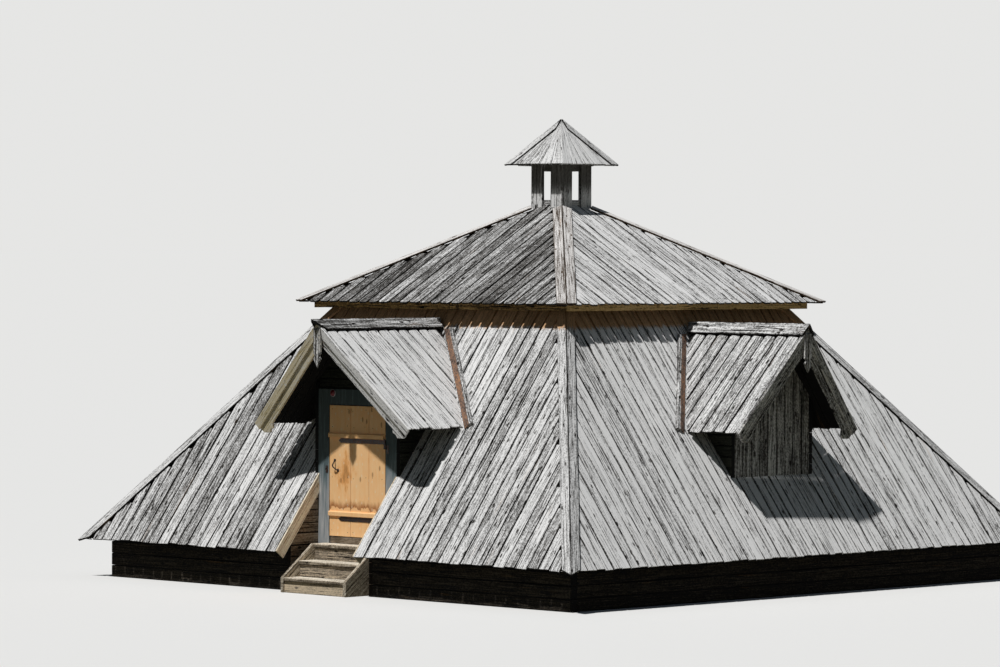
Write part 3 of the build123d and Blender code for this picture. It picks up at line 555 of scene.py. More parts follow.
class Value:
    """A socket that takes part in Python expressions, which add Math nodes."""

    def __init__(self, finish, socket):
        self.finish, self.socket = finish, socket

    def _math(self, operation, first, second=0.0):
        return self.finish.node("ShaderNodeMath", {"operation": operation}, {0: first, 1: second})

    def _vector(self, operation, other):
        return self.finish.node("ShaderNodeVectorMath", {"operation": operation},
                                {0: self, 1: other})

    def __add__(self, other):
        return self._math("ADD", self, other)

    def __sub__(self, other):
        if isinstance(other, tuple):
            return self._vector("SUBTRACT", other)
        return self._math("SUBTRACT", self, other)

    def __rsub__(self, other):
        return self._math("SUBTRACT", other, self)

    def __mul__(self, other):
        return self._math("MULTIPLY", self, other)

    def __abs__(self):
        return self._math("ABSOLUTE", self)

    __radd__ = __add__
    __rmul__ = __mul__

    def swing(self, size):
        """What a noise, from 0 to 1, adds to a level: its distance from a half, scaled."""
        return (self - 0.5) * size

    def between(self, low, high):
        """0 below low, 1 above high, and smooth in between; it falls if low is the larger."""
        return self.finish.node("ShaderNodeMapRange", {"interpolation_type": "SMOOTHSTEP"},
                                {0: self, 1: low, 2: high})

    def axis(self, index):
        """One coordinate of a vector."""
        return self.finish.node("ShaderNodeSeparateXYZ", {}, {0: self}, index)

    def noise(self, scale, detail=3.0, roughness=0.6, lean=0.0):
        """Noise on a vector whose coordinates are each scaled."""
        return self.finish.node("ShaderNodeTexNoise", {}, {
            "Vector": self._vector("MULTIPLY", scale), "Scale": 1.0, "Detail": detail,
            "Roughness": roughness, "Distortion": lean})

    def spots(self, scale, edge, core):
        """Round spots scattered over the first two coordinates, 0 at the edge and 1 in the core."""
        distance = self.finish.node("ShaderNodeTexVoronoi", {"voronoi_dimensions": "2D"},
                                    {"Vector": self._vector("MULTIPLY", scale), "Scale": 1.0})
        return distance.between(edge, core)


class Finish:
    """One material, given by its name, or the world. node() adds any node, and surface() sets
    the shader's sockets.
    """

    def __init__(self, home):
        self.home = bpy.data.materials.new(home) if isinstance(home, str) else home
        self.home.use_nodes = True
        self.tree = self.home.node_tree
        self.shader = self.tree.nodes.get("Principled BSDF")

    def node(self, kind, settings, sockets, output=0):
        """Adds a node of a kind, with its settings and then its sockets, and gives one output."""
        node = self.tree.nodes.new(kind)
        for name, value in settings.items():
            if name == "stops":
                self._stops(node.color_ramp, value)
            else:
                setattr(node, name, value)
        for key, value in sockets.items():
            self._fill(node.inputs[key], value)
        return Value(self, node.outputs[output])

    def surface(self, **sockets):
        """Sets the shader's sockets, named with underscores, and gives the material."""
        for name, value in sockets.items():
            self._fill(self.shader.inputs[name.replace("_", " ")], value)
        return self.home

    def seen_directly(self):
        """1 for rays from the camera, also by way of a mirror or through glass."""
        path = self.node("ShaderNodeLightPath", {}, {}, "Is Camera Ray")
        outputs = path.socket.node.outputs
        mirrored = Value(self, outputs["Is Glossy Ray"])
        return (path + mirrored + Value(self, outputs["Is Transmission Ray"])).between(0.0, 1.0)

    def seen_or_lit(self, output, seen, lit):
        """One shader for what the camera sees, and another for what lights the object."""
        both = self.node("ShaderNodeMixShader", {}, {0: self.seen_directly(), 1: lit, 2: seen})
        self._fill(self.tree.nodes[output].inputs["Surface"], both)
        return self.home

    def _fill(self, socket, value):
        if isinstance(value, Value):
            self.tree.links.new(value.socket, socket)
        else:
            socket.default_value = value

    @staticmethod
    def _stops(ramp, stops):
        while len(ramp.elements) < len(stops):
            ramp.elements.new(1.0)
        for element, (position, colour) in zip(ramp.elements, stops):
            element.position = position
            element.color = (*colour, 1.0)

    def attribute(self, name):
        """One of the three attributes that a piece carries."""
        output = "Vector" if name == "grain" else "Fac"
        return self.node("ShaderNodeAttribute", {"attribute_name": name}, {}, output)

    def place(self):
        """A point's place in the frame's metres."""
        return self.node("ShaderNodeTexCoord", {}, {}, "Object")

    def ramp(self, level, stops):
        """A colour picked by a level from stops of (level, colour)."""
        return self.node("ShaderNodeValToRGB", {"stops": stops}, {0: level})

    def mix(self, share, first, second):
        """The first colour where the share is 0, and the second where it is 1."""
        return self.node("ShaderNodeMix", {"data_type": "RGBA"},
                         {0: share, 6: rgba(first), 7: rgba(second)}, 2)

    def bump(self, height, strength, distance):
        """A normal from a height."""
        return self.node("ShaderNodeBump", {}, {"Height": height, "Strength": strength,
                                                "Distance": distance})


def rgba(colour):
    """Colours are three numbers everywhere, and sockets want four."""
    return colour if isinstance(colour, Value) else (*colour, 1.0)


def scaled(colour, *factors):
    """A colour with its three numbers scaled, by one factor or by one each, and kept below 1."""
    return tuple(min(1.0, v * factor) for v, factor in zip(colour, factors * 3))


def wood_figure(grain):
    """What any board shows: fine fibres, broader streaks, patches and knots."""
    fibre = grain.noise((78, 2.4, 45), 3.0, 0.65)
    streak = grain.noise((28, 1.5, 18), 4.0, 0.6, 0.4)
    patch = grain.noise((7, 2.4, 5), 4.0, 0.62)
    return fibre, streak, patch, grain.spots((4.2, 1.9, 1), 0.085, 0.035)


def weathered_wood(name, colours, shelter=None, lichen=False, bark=False, contrast=1.0,
                   aged=BROWN_AGED):
    """Old boards: the level from tone and figure picks a colour between dark and light.

    The figure is what any board shows, with a fine mottle and drying cracks. Where the attribute
    warm is high, in stains and above the given heights, the given pair of colours takes over,
    or bark: on the skirt the brown that its boards kept under the eave, and on the lantern dark
    greys painted as shade under its roof. Where there is lichen, it takes over instead, where
    warm is high.
    """
    finish = Finish(name)
    grain = finish.attribute("grain")
    fibre, streak, patch, knot = wood_figure(grain)
    mottle = grain.noise((54, 30, 42), 3.0, 0.8)
    crack = abs(grain.noise((26, 0.6, 20), 2.0, 0.5, 0.3) - 0.5).between(0.022, 0.006)
    figure = fibre.swing(2.0) + streak.swing(0.7) + patch.swing(0.6) + mottle.swing(2.1)
    figure = figure - crack * 0.85 - knot * 0.65
    level = finish.attribute("tone") + figure * contrast
    dark, middle, light = colours
    colour = finish.ramp(level, [(0.0, scaled(dark, 0.10)), (0.28, dark), (0.55, middle),
                                 (0.80, light), (1.0, scaled(light, 1.2))])
    warm = finish.attribute("warm")
    if lichen:
        moss = mottle.swing(2.4) + patch.swing(1.6) + warm
        colour = finish.mix(moss.between(0.2, 1.1) * 0.8, colour, LICHEN)
    else:
        warm = warm + grain.noise((16, 0.9, 9), 3.0, 0.6).between(0.64, 0.74) * 0.28
        # Above the given heights the given pair takes over: on the skirt the brown kept under its
        # eave, on the lantern painted shade under its roof
        if shelter:
            warm = warm + (finish.place().axis(2) + streak.swing(0.16)).between(*shelter)
        if bark:
            brown = finish.ramp(mottle.swing(2.6) + patch.swing(1.6) + 0.5, BARK)
        else:
            brown = finish.mix((streak + mottle - 1.0) * 1.6 + 0.5, *aged)
        colour = finish.mix(warm.between(0.0, 1.0), colour, brown)
    height = fibre * 0.5 + streak * 0.6 + mottle * 0.3 - crack * 1.1 - knot * 0.3
    return finish.surface(Base_Color=colour, Roughness=0.9, Specular_IOR_Level=DRY_SHEEN,
                          Normal=finish.bump(height, 0.5, 0.006))


def planked_dark(name, base, worn):
    """Old timber in the shade, seen on CAD pieces as well, so it reads Object coordinates: fibres
    and patches mix the base colour with the worn one.
    """
    finish = Finish(name)
    place = finish.place()
    fibre = place.noise((14, 14, 90))
    patch = place.noise((2.1, 2.1, 5.0))
    colour = finish.mix((fibre.swing(1.6) + patch).between(0.25, 0.85), base, worn)
    return finish.surface(Base_Color=colour, Roughness=0.9, Specular_IOR_Level=DRY_SHEEN,
                          Normal=finish.bump(fibre, 0.4, 0.004))


def post_paint(name, colour):
    """Thin blue-grey stain on upright posts, paler low down: partly fibres worn bare, and partly
    painted light below the door dormer's shadow, with the stain painted darker above as painted
    shade.
    """
    finish = Finish(name)
    place = finish.place()
    fibre = place.noise((70, 70, 3.0))
    patch = place.noise((9, 9, 1.6))
    # Paler from 1.9 m down to 1.2 m: wear together with painted light below the dormer's shadow,
    # and painted shade above it
    worn = place.axis(2).between(1.9, 1.2) * 0.62 + fibre.swing(1.4) + patch.swing(0.9)
    tint = finish.ramp(worn, [(0.0, scaled(colour, 0.5)), (0.35, colour), (0.62, WORN_AND_LIT_FIBRE),
                              (1.0, BLEACHED_AND_LIT_FIBRE)])
    return finish.surface(Base_Color=tint, Roughness=0.85, Specular_IOR_Level=0.12,
                          Normal=finish.bump(fibre, 0.5, 0.004))


def pine(name, colour):
    """Honey pine: soft streaks along the grain, pale plugs, dark knots, a darker patch where
    hands reach, and a rain stain that fades upwards from the lower ledge.
    """
    finish = Finish(name)
    grain = finish.attribute("grain")
    fibre, streak, patch, knot = wood_figure(grain)
    mottle = grain.noise((16, 7, 12), 4.0, 0.6)
    amber, pale = scaled(colour, 0.86, 0.72, 0.55), scaled(colour, 1.04, 1.14, 1.32)
    handled = finish.place() - HANDLED_SPOT
    handled = abs(handled.axis(0)) * 4.0 + abs(handled.axis(2)) * 2.6 + mottle.swing(1.4)
    level = streak.swing(0.6) + patch.swing(0.6) + fibre.swing(0.5) + 0.78
    level = level + mottle.swing(0.6) - handled.between(1.0, 0.1) * 0.6
    tint = finish.ramp(level, [(0.0, scaled(amber, 0.62)), (0.32, amber), (0.6, colour),
                               (1.0, pale)])
    height = finish.place().axis(2) + (mottle.swing(0.16) + streak.swing(0.05))
    stain = height.between(*STAIN_BEGINS) * height.between(*STAIN_FADES)
    tint = finish.mix(stain * 0.85, tint, RAIN_STAIN)
    tint = finish.mix(grain.spots((8, 5, 1), 0.11, 0.07) * 0.35, tint, PLUG)
    tint = finish.mix(knot * 0.6, tint, KNOT)
    return finish.surface(Base_Color=tint, Roughness=0.6, Specular_IOR_Level=0.18,
                          Normal=finish.bump(fibre * 0.6 + streak * 0.4, 0.3, 0.004))


def forged_iron(name, colour):
    """Black iron with brown rust in patches and a hammered surface."""
    finish = Finish(name)
    place = finish.place()
    rust = place.noise((38, 38, 38), 4.0, 0.65).between(0.46, 0.66)
    dents = place.noise((90, 90, 90), 2.0, 0.5)
    return finish.surface(Base_Color=finish.mix(rust * 0.7, colour, RUST),
                          Roughness=rust * 0.3 + 0.5, Metallic=0.6,
                          Normal=finish.bump(dents, 0.4, 0.003))


def red_glass(name, colour):
    """Glass that is darker in clouds."""
    finish = Finish(name)
    cloud = finish.place().noise((60, 60, 60), 1.0, 0.5).between(0.35, 0.7)
    return finish.surface(Base_Color=finish.mix(cloud, scaled(colour, 0.45), colour),
                          Roughness=0.35, Specular_IOR_Level=0.2)


def dull_rim(name):
    """Dull metal with fine scratches that are lighter and rougher."""
    finish = Finish(name)
    scratch = finish.place().noise((160, 160, 160), 2.0, 0.5)
    return finish.surface(Base_Color=finish.mix(scratch, DULL_METAL, SCRATCHED_METAL),
                          Roughness=scratch * 0.3 + 0.3, Metallic=0.7)


# What a user may change


class CellarSizes(PropertyGroup):
    """Sizes of the boards, in metres."""
    skirt_pitch: FloatProperty(name="Front skirt pitch", unit="LENGTH", default=0.187, min=0.08,
                               description="Spacing of the boards on the doorway side's skirt")
    side_pitch: FloatProperty(name="Side skirt pitch", unit="LENGTH", default=0.153, min=0.08,
                              description="Spacing of the boards on the right-hand skirt")
    roof_pitch: FloatProperty(name="Roof pitch", unit="LENGTH", default=0.190, min=0.08,
                              description="Spacing of the boards on the upper roof")
    fine_pitch: FloatProperty(name="Fine roof pitch", unit="LENGTH", default=0.152, min=0.08,
                              description="Spacing on the upper roof's right and left sides")
    dormer_pitch: FloatProperty(name="Dormer pitch", unit="LENGTH", default=0.174, min=0.08,
                                description="Spacing of the boards on the door's dormer")
    skirt_gap: FloatProperty(name="Front skirt gap", unit="LENGTH", default=0.019, min=0.0,
                             description="Open joint between the doorway side's boards")
    roof_gap: FloatProperty(name="Roof gap", unit="LENGTH", default=0.022, min=0.0,
                            description="Open joint between roof boards")
    course: FloatProperty(name="Course height", unit="LENGTH", default=0.145, min=0.06,
                          description="Height of the level planks of the walls")


class CellarColours(PropertyGroup):
    """Colours of the finishes."""
    dark_grey: FloatVectorProperty(name="Dark grey", subtype="COLOR", size=3,
                                   description="Weathered boards where they are darkest",
                                   default=(0.115, 0.107, 0.098), min=0.0, max=1.0)
    mid_grey: FloatVectorProperty(name="Middle grey", subtype="COLOR", size=3,
                                  description="Weathered boards on average",
                                  default=(0.335, 0.330, 0.322), min=0.0, max=1.0)
    light_grey: FloatVectorProperty(name="Light grey", subtype="COLOR", size=3,
                                    description="Weathered boards where they are lightest",
                                    default=(0.70, 0.69, 0.675), min=0.0, max=1.0)
    door: FloatVectorProperty(name="Door", subtype="COLOR", size=3,
                              description="Pine planks of the door",
                              default=(0.99, 0.565, 0.25), min=0.0, max=1.0)
    posts: FloatVectorProperty(name="Posts", subtype="COLOR", size=3,
                               description="Stain on the door posts and the lintel",
                               default=(0.135, 0.18, 0.19), min=0.0, max=1.0)
    iron: FloatVectorProperty(name="Iron", subtype="COLOR", size=3,
                              description="Hinges, handle and latch",
                              default=(0.022, 0.019, 0.018), min=0.0, max=1.0)
    lamp: FloatVectorProperty(name="Lamp", subtype="COLOR", size=3,
                              description="Glass of the round lamp",
                              default=(0.17, 0.008, 0.012), min=0.0, max=1.0)


def sizes():
    """The sizes that the user may change."""
    return bpy.context.scene.cellar_sizes


def chosen(name):
    """A colour that the user may change."""
    return tuple(getattr(bpy.context.scene.cellar_colours, name))


def finish_named(name, make, *values, **options):
    """A finish is made once and shared after that; the frame's own materials keep their names."""
    name = "cellar_" + name
    return bpy.data.materials.get(name) or make(name, *values, **options)


def wood(name, colours=None, **options):
    """Weathered wood in colours of its own, or in the user's greys."""
    greys = [chosen(grey) for grey in ("dark_grey", "mid_grey", "light_grey")]
    return finish_named(name, weathered_wood, colours or greys, **options)


def dress(material, *nodes):
    """Gives nodes that stay their finish."""
    for node in nodes:
        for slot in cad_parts[node].material_slots:
            slot.material = material


# Pieces


def hip_covers(heap, slope, width, tip, heel, top, tone, thick=0.025, front=None, closed=0.0,
               warm=0.0):
    """A board on each side of each hip; front is the width on the hip nearest the camera.

    Across is the distance inwards, square to the hip, and along the distance up it. A board
    starts a joint away from the hip's line, where it hangs over the eave by the tip, and its
    inner edge hangs over by the heel. It runs up to the top, or its inner edge stops halfway
    along a slope that is closed at half its width. The hip edge leans out with height so that
    the two boards of a hip meet, but for the joint, on its upright middle plane.
    """
    near_joint, joint, far_paler, tone_spread = 0.004, 0.0015, 0.25, 0.05
    norm = sqrt(1 + slope.run ** 2)
    base = slope.lay()
    inwards = base.axes.T @ np.array([-1, -slope.run, 0]) / norm
    upwards = base.axes.T @ np.array([-slope.run, 1, 0]) / norm
    lay = Lay(base.place(np.array([slope.edge_d, 0, 0])), inwards, upwards, base.axes[2])
    front = width if front is None else front
    for side, angle in enumerate(SIDES):
        for index, half in enumerate(lay.pair()):
            nearest = (side - index) % 4 == 0
            own, apart = (front, near_joint) if nearest else (width, joint)
            if not own:
                continue
            inner_top = (closed - own / norm) / slope.run * norm if closed else top * norm
            corners = corners_at((apart, -tip * norm), (own, own * slope.run - heel * norm),
                                 (own, inner_top), (apart, top * norm))
            shade = tone + heap.rng.normal(0, tone_spread) + far_paler * (own < front)
            boards(heap, half.turned(angle), corners, 0.0, thick, shade, warm=warm, wave=0.004,
                   stations=14, mitre=slope.rise / norm, edges=1.7)


class SkirtBoards(Operator):
    """Two layers of boards on the four sides of the skirt, and the pairs over its hips"""
    bl_idname = "cellar.skirt_boards"
    bl_label = "Skirt boards"

    def execute(self, context):
        size = sizes()
        heap = Heap(11)
        head_d, cover_head_d, hip, side_gap, rag = 1.80, 1.83, 0.02, 0.022, 0.010
        top = skirt.up_to(head_d)
        over = skirt.up_to(skirt.d_at(OPENING_TOP_Z))
        broad, fine = (size.skirt_pitch, size.skirt_gap), (size.side_pitch, side_gap)
        for start, stop, low, tone in ((-SKIRT_HALF, -OPENING_HALF, 0.0, 0.66),
                                       (OPENING_HALF, SKIRT_HALF, 0.0, 0.75),
                                       (-OPENING_HALF, OPENING_HALF, over, 0.70)):
            slope_boards(heap, skirt.lay(), skirt, start, stop, *broad, top, tone, low=low,
                         hip=hip, rag=0.0 if low else rag)
        # The right side's boards are set paler: partly paler wood, and partly painted light
        # standing in for light falling on that side
        for angle, spacing, tone in ((RIGHT, fine, 1.12), (BACK, broad, 0.68),
                                     (LEFT, broad, 0.72)):
            slope_boards(heap, skirt.lay().turned(angle), skirt, -SKIRT_HALF, SKIRT_HALF,
                         *spacing, top, tone, hip=hip)
        heap.piece("skirt_boards", wood("weathered_skirt", shelter=SKIRT_SHELTER), BUILDING,
                   "weathered_skirt_boards", "skirt_beside_doorway", "skirt_over_doorway",
                   "skirt_back", "skirt_left_and_right")
        covers = Heap(12)
        hip_covers(covers, skirt, width=0.12, tip=0.060, heel=-0.004,
                   top=skirt.up_to(cover_head_d), tone=0.76)
        covers.piece("skirt_hip_covers", wood("weathered_covers", shelter=SKIRT_SHELTER),
                     BUILDING, "weathered_cover_boards", "skirt_hip_boards")
        return {"FINISHED"}


class RoofBoards(Operator):
    """Two layers of boards on the upper roof, its hip covers and the fascia below its eave"""
    bl_idname = "cellar.roof_boards"
    bl_label = "Roof boards"

    def execute(self, context):
        size = sizes()
        heap = Heap(21)
        head_d = 0.19
        # The right side's boards are set paler: partly paler wood, and partly painted light
        # standing in for light falling on that side
        for angle, pitch, tone in ((FRONT, size.roof_pitch, 0.44), (RIGHT, size.fine_pitch, 0.98),
                                   (BACK, size.roof_pitch, 0.58), (LEFT, size.fine_pitch, 0.60)):
            slope_boards(heap, roof.lay().turned(angle), roof, -ROOF_HALF, ROOF_HALF, pitch,
                         size.roof_gap, roof.up_to(head_d), tone, pinch=0.022, sunk=0.075)
        finish = wood("weathered_roof")
        heap.piece("roof_boards", finish, BUILDING, "weathered_roof_boards",
                   "roof_front_and_back", "roof_left_and_right")
        covers = Heap(22)
        hip_covers(covers, roof, width=0.085, tip=0.022, heel=0.018,
                   top=roof.up_to(LANTERN_HALF), tone=0.76, front=0.128, warm=0.2)
        covers.piece("roof_hip_covers", finish, BUILDING, "weathered_cover_boards",
                     "roof_hip_boards")
        self.fascia()
        return {"FINISHED"}

    def fascia(self):
        """Two boards end to end on each side, butted somewhere near the middle."""
        heap = Heap(23)
        outer, drop, thick, inset, joint, wander = 2.32, 0.092, 0.025, 0.002, 0.003, 0.6
        low, high, end = ROOF_EDGE_Z - drop, roof.underside().z_at(outer), outer - inset
        for angle in SIDES:
            split = heap.rng.uniform(-wander, wander)
            corners = courses(low, high, [-end, split + joint], [split - joint, end])
            # The sides other than the front are set much paler: painted light, standing in for the
            # bounced light on the right side's fascia in the eave's shade
            boards(heap, course_lay(outer).turned(angle), corners, -thick, 0.0,
                   (0.47, 0.40) if angle == FRONT else (0.80, 0.84), bevel=0.003, stations=10,
                   edges=0.4)
        heap.piece("roof_fascia_boards", wood("ochre_fascia", OCHRE, contrast=0.55), BUILDING,
                   "ochre_fascia", "roof_fascia")


class Lantern(Operator):
    """The vent lantern: curb, corner boards, head boards, tapered roof boards and hip covers"""
    bl_idname = "cellar.lantern"
    bl_label = "Vent lantern"

    def execute(self, context):
        self.walls()
        finish = wood("lantern_roof")
        top = Heap(32)
        peak = lantern_roof.up_to(0.0)
        for side, angle in enumerate(SIDES):
            # The right and left sides are set paler: partly paler wood, and partly painted light
            # standing in for light on the right side
            self.tapered(top, angle, peak, (0.86, 1.20)[side % 2])
        top.piece("lantern_roof_boards", finish, BUILDING, "weathered_roof_boards",
                  "cupola_roof")
        covers = Heap(33)
        hip_covers(covers, lantern_roof, width=0.092, tip=0.030, heel=0.012, top=peak, tone=0.85,
                   thick=0.020, front=0.0, closed=LANTERN_EAVE_HALF)
        covers.piece("lantern_hip_covers", finish, BUILDING, "weathered_cover_boards",
                     "cupola_hip_boards")
        return {"FINISHED"}

    def walls(self):
        """Two boards beside each corner of each side, and rails behind their feet and heads."""
        heap = Heap(31)
        width, thick, joint, sunk = 0.198, 0.045, 0.004, 0.02
        rail_thick, curb_height, sink, head_below, head_above = 0.06, 0.095, 0.002, 0.095, 0.045
        foot = roof.z_at(LANTERN_HALF)
        head = lantern_roof.underside().z_at(LANTERN_HALF)
        middle = LANTERN_HALF - width / 2
        for angle in SIDES:
            lay = wall_lay(LANTERN_HALF).turned(angle)
            for sign in (-1, 1):
                far = LANTERN_HALF if sign > 0 else LANTERN_HALF - thick
                corner_board = sorted((sign * far, sign * (middle + joint / 2)))
                next_board = sorted((sign * (middle - joint / 2), sign * (LANTERN_HALF - width)))
                left, right = (np.array(pair) for pair in zip(corner_board, next_board))
                corners = quads(left, right, foot, head)
                corners[:, :2, 1] -= sunk
                boards(heap, lay, corners, -thick, 0.0, heap.rng.normal(1.00, 0.06, 2),
                       wave=0.0015, bevel=0.003, edges=0.5)
        outer, inner = LANTERN_HALF - thick, LANTERN_HALF - thick - rail_thick
        for low, high, tone in ((roof.z_at(outer) - sink, foot + curb_height, 0.72),
                                (LANTERN_EAVE_Z - head_below, LANTERN_EAVE_Z + head_above, 0.30)):
            for side, angle in enumerate(SIDES):
                reach = outer if side % 2 else inner
                boards(heap, course_lay(outer).turned(angle), courses(low, high, -reach, reach),
                       inner - outer, 0.0, tone, wave=0.0015)
        # The lantern's boards are painted dark grey above the given heights: painted shade under
        # the lantern's roof
        finish = wood("lantern_posts", shelter=LANTERN_SHADE_HEIGHTS, aged=LANTERN_PAINTED_SHADE)
        heap.piece("lantern_boards", finish, BUILDING, "lantern_boards",
                   "cupola_corner_boards", "cupola_curb", "cupola_head")

    def tapered(self, heap, angle, peak, tone):
        """Boards of one side, which all run to the peak and end just below it."""
        count, uneven, joint, rag, near = 5, 0.025, 0.004, 0.006, 0.012
        edges = np.linspace(-LANTERN_EAVE_HALF, LANTERN_EAVE_HALF, count + 1)
        edges[1:-1] += heap.rng.uniform(-uneven, uneven, count - 1)
        left, right = edges[:-1] + joint, edges[1:] - joint
        low, high = heap.rng.uniform(-rag, rag, count), peak * (1 - near)
        corners = corners_at((left, low), (right, low), (right * near, high), (left * near, high))
        boards(heap, lantern_roof.lay().turned(angle), corners, -LANTERN_ROOF_THICK, -0.002,
               heap.rng.normal(tone, 0.08, count), bevel=0.003, wave=0.001, edges=0.4)


class DormerRoofs(Operator):
    """Boards on the dormers, which end ragged in the valleys, ridge boards and valley boards"""
    bl_idname = "cellar.dormer_roofs"
    bl_label = "Dormer roofs"

    def execute(self, context):
        pitch, broader = sizes().dormer_pitch, 1.13
        heap, ridge, valley = Heap(41), Heap(42), Heap(43)
        self.slopes(heap, DOOR_DORMER, pitch, 0.016, (1.27, 0.80))
        self.slopes(heap, BLIND_DORMER, pitch * broader, 0.020, (0.80, 0.74))
        finish = wood("weathered_dormers", contrast=1.3)
        heap.piece("dormer_boards", finish, BUILDING, "weathered_roof_boards", "dormer_roofs")
        for dormer in DORMERS:
            self.ridge(ridge, dormer)
        ridge.piece("dormer_ridge_covers", finish, BUILDING, "weathered_cover_boards",
                    "dormer_ridge_boards")
        for dormer in DORMERS:
            self.valley(valley, dormer)
        valley.piece("dormer_valley_covers", wood("barked_valleys", bark=True), BUILDING,
                     "barked_board", "dormer_valley_boards")
        return {"FINISHED"}

    def slopes(self, heap, dormer, pitch, gap, tones):
        """Two layers of boards that run down the slope, parallel to the raked gable end.

        The upper layer stops short of the ridge, below its boards. A board that would be shorter
        than the least length is left out.
        """
        rag, sunk, least, slack, pinch, tone_spread = 0.015, 0.015, 0.04, 0.003, 0.016, 0.05
        heads = (-0.156, -0.012)
        lean = dormer.rake_run / dormer.length
        throat = skirt.d_at(dormer.ridge_z)
        start = throat + 0.05
        closing = lean + sin(dormer.angle) / tan(SKIRT_ANGLE)

        def down(across):
            """How far down the slope a line from this far out at the ridge can run."""
            return np.clip((across - throat) / closing, 0.02, dormer.length)

        for lay, tone in zip(dormer.halves(dormer.slope_lay()), tones):
            for row, head in enumerate(heads):
                left, right = spread(heap.rng, start + pitch / 2 * row, dormer.ridge_out, pitch,
                                     UNDER_GAP if row else gap)
                more_left, more_right = ragged(heap.rng, len(left), rag)
                low_left = down(left) + more_left - sunk * row
                low_right = down(right) + more_right - sunk * row
                corners = corners_at((left - lean * low_left, -low_left),
                                     (right - lean * low_right, -low_right),
                                     (right, head), (left, head))
                corners[:, 2, 1] -= (1 - row) * lean * (right - left)
                corners[:, 2:, 0] += lean * corners[:, 2:, 1]
                corners = corners[corners[:, :2, 1].max(axis=1) <= head - least]
                count = len(corners)
                over = -row * DORMER_THICK / 2 - heap.rng.uniform(0, slack, count)
                # The lower layer is painted dark: painted shade in the gaps
                shade = painted_gap_shade(heap.rng, count) if row else (
                    tone + heap.rng.normal(0, tone_spread, count))
                boards(heap, lay, corners, over - DORMER_THICK / 2 + slack, over, shade,
                       wave=0.0016, bow=0.001, stations=2 if row else 6,
                       pinch=0.0 if row else pinch)

    def ridge(self, heap, dormer):
        """Two boards folded over the ridge, mitred at its top, bevelled at both ends."""
        joint, clear = 0.001, 0.02
        inner = skirt.d_at(dormer.ridge_z) + clear / sin(SKIRT_ANGLE)
        reach = RIDGE_WIDTH * sin(dormer.angle) / tan(SKIRT_ANGLE)
        slope = dormer.slope_lay()
        lay = Lay(slope.origin, -slope.axes[1], slope.axes[0], slope.axes[2])
        corners = corners_at((joint, inner), (RIDGE_WIDTH, inner + reach),
                             (RIDGE_WIDTH, dormer.tip_out - dormer.bevel),
                             (joint, dormer.tip_out))
        for half in dormer.halves(lay):
            boards(heap, half, corners, 0.0, RIDGE_THICK, 0.56 + heap.rng.normal(0, 0.03),
                   bevel=0.003, wave=0.002, stations=12, mitre=tan(dormer.angle))

    def valley(self, heap, dormer):
        """Waney boards beside the slopes: a profile with a rough bark face, carried up the valley.

        Each point of the bark face moves by a random roughness, and the face, but for its thin
        edge, swells and shrinks slowly along the board. The head is cut level below the ridge
        boards: the length at each point of the profile is the one that reaches that height.
        """
        width, thick, corner, lap, clear = 0.15, 0.042, 0.005, 0.06, 0.003
        roughness, bulge, swelling, thin_edge, stations = 0.003, 0.4, 0.008, 0.03, 44
        climb = dormer.rise / skirt.rise
        norm = hypot(dormer.half, climb)
        base = skirt.lay()
        foot = base.place(np.array([dormer.half, (dormer.eave_z - SKIRT_EDGE_Z) / skirt.rise, 0]))
        along = base.axes.T @ np.array([-dormer.half, climb, 0]) / norm
        across = base.axes.T @ np.array([climb, dormer.half, 0]) / norm
        lay = Lay(foot, across, along, base.axes[2])
        cut = dormer.ridge_z - RIDGE_WIDTH * sin(dormer.angle) - clear
        # Across, out, and whether the point is on the bark
        section = np.array([(0.006, 0.0, 0), (width, 0.0, 0), (width, thick - corner, 0),
                            (width - corner, thick, 0), (0.128, thick, 0), (0.110, thick, 0),
                            (0.102, 0.040, 1), (0.084, 0.034, 1), (0.062, 0.026, 1),
                            (0.040, 0.017, 1), (0.020, 0.008, 1)])
        side, out, bark = section.T[:, None, :]
        s = np.linspace(0, 1, stations + 1)[:, None]
        for half in dormer.halves(lay):
            rough = heap.rng.normal(0, roughness, (stations + 1, len(section))) * bark
            swell = slow_wave(heap.rng, (1, 1), s * norm, swelling)
            a = side + swell * (bark > 0) * (side > thin_edge) + rough
            c = out + np.abs(rough) * bulge
            head = (cut - lay.origin[2] - a * lay.axes[0][2] - c * lay.axes[2][2]) / lay.axes[1][2]
            b = -lap + s * (head + lap)
            local = np.stack(np.broadcast_arrays(a, b, c), axis=-1)
            heap.add(half, local, local + heap.rng.uniform(0, GRAIN_APART, 3), 0.55, bark * 0.95,
                     clockwise=True)


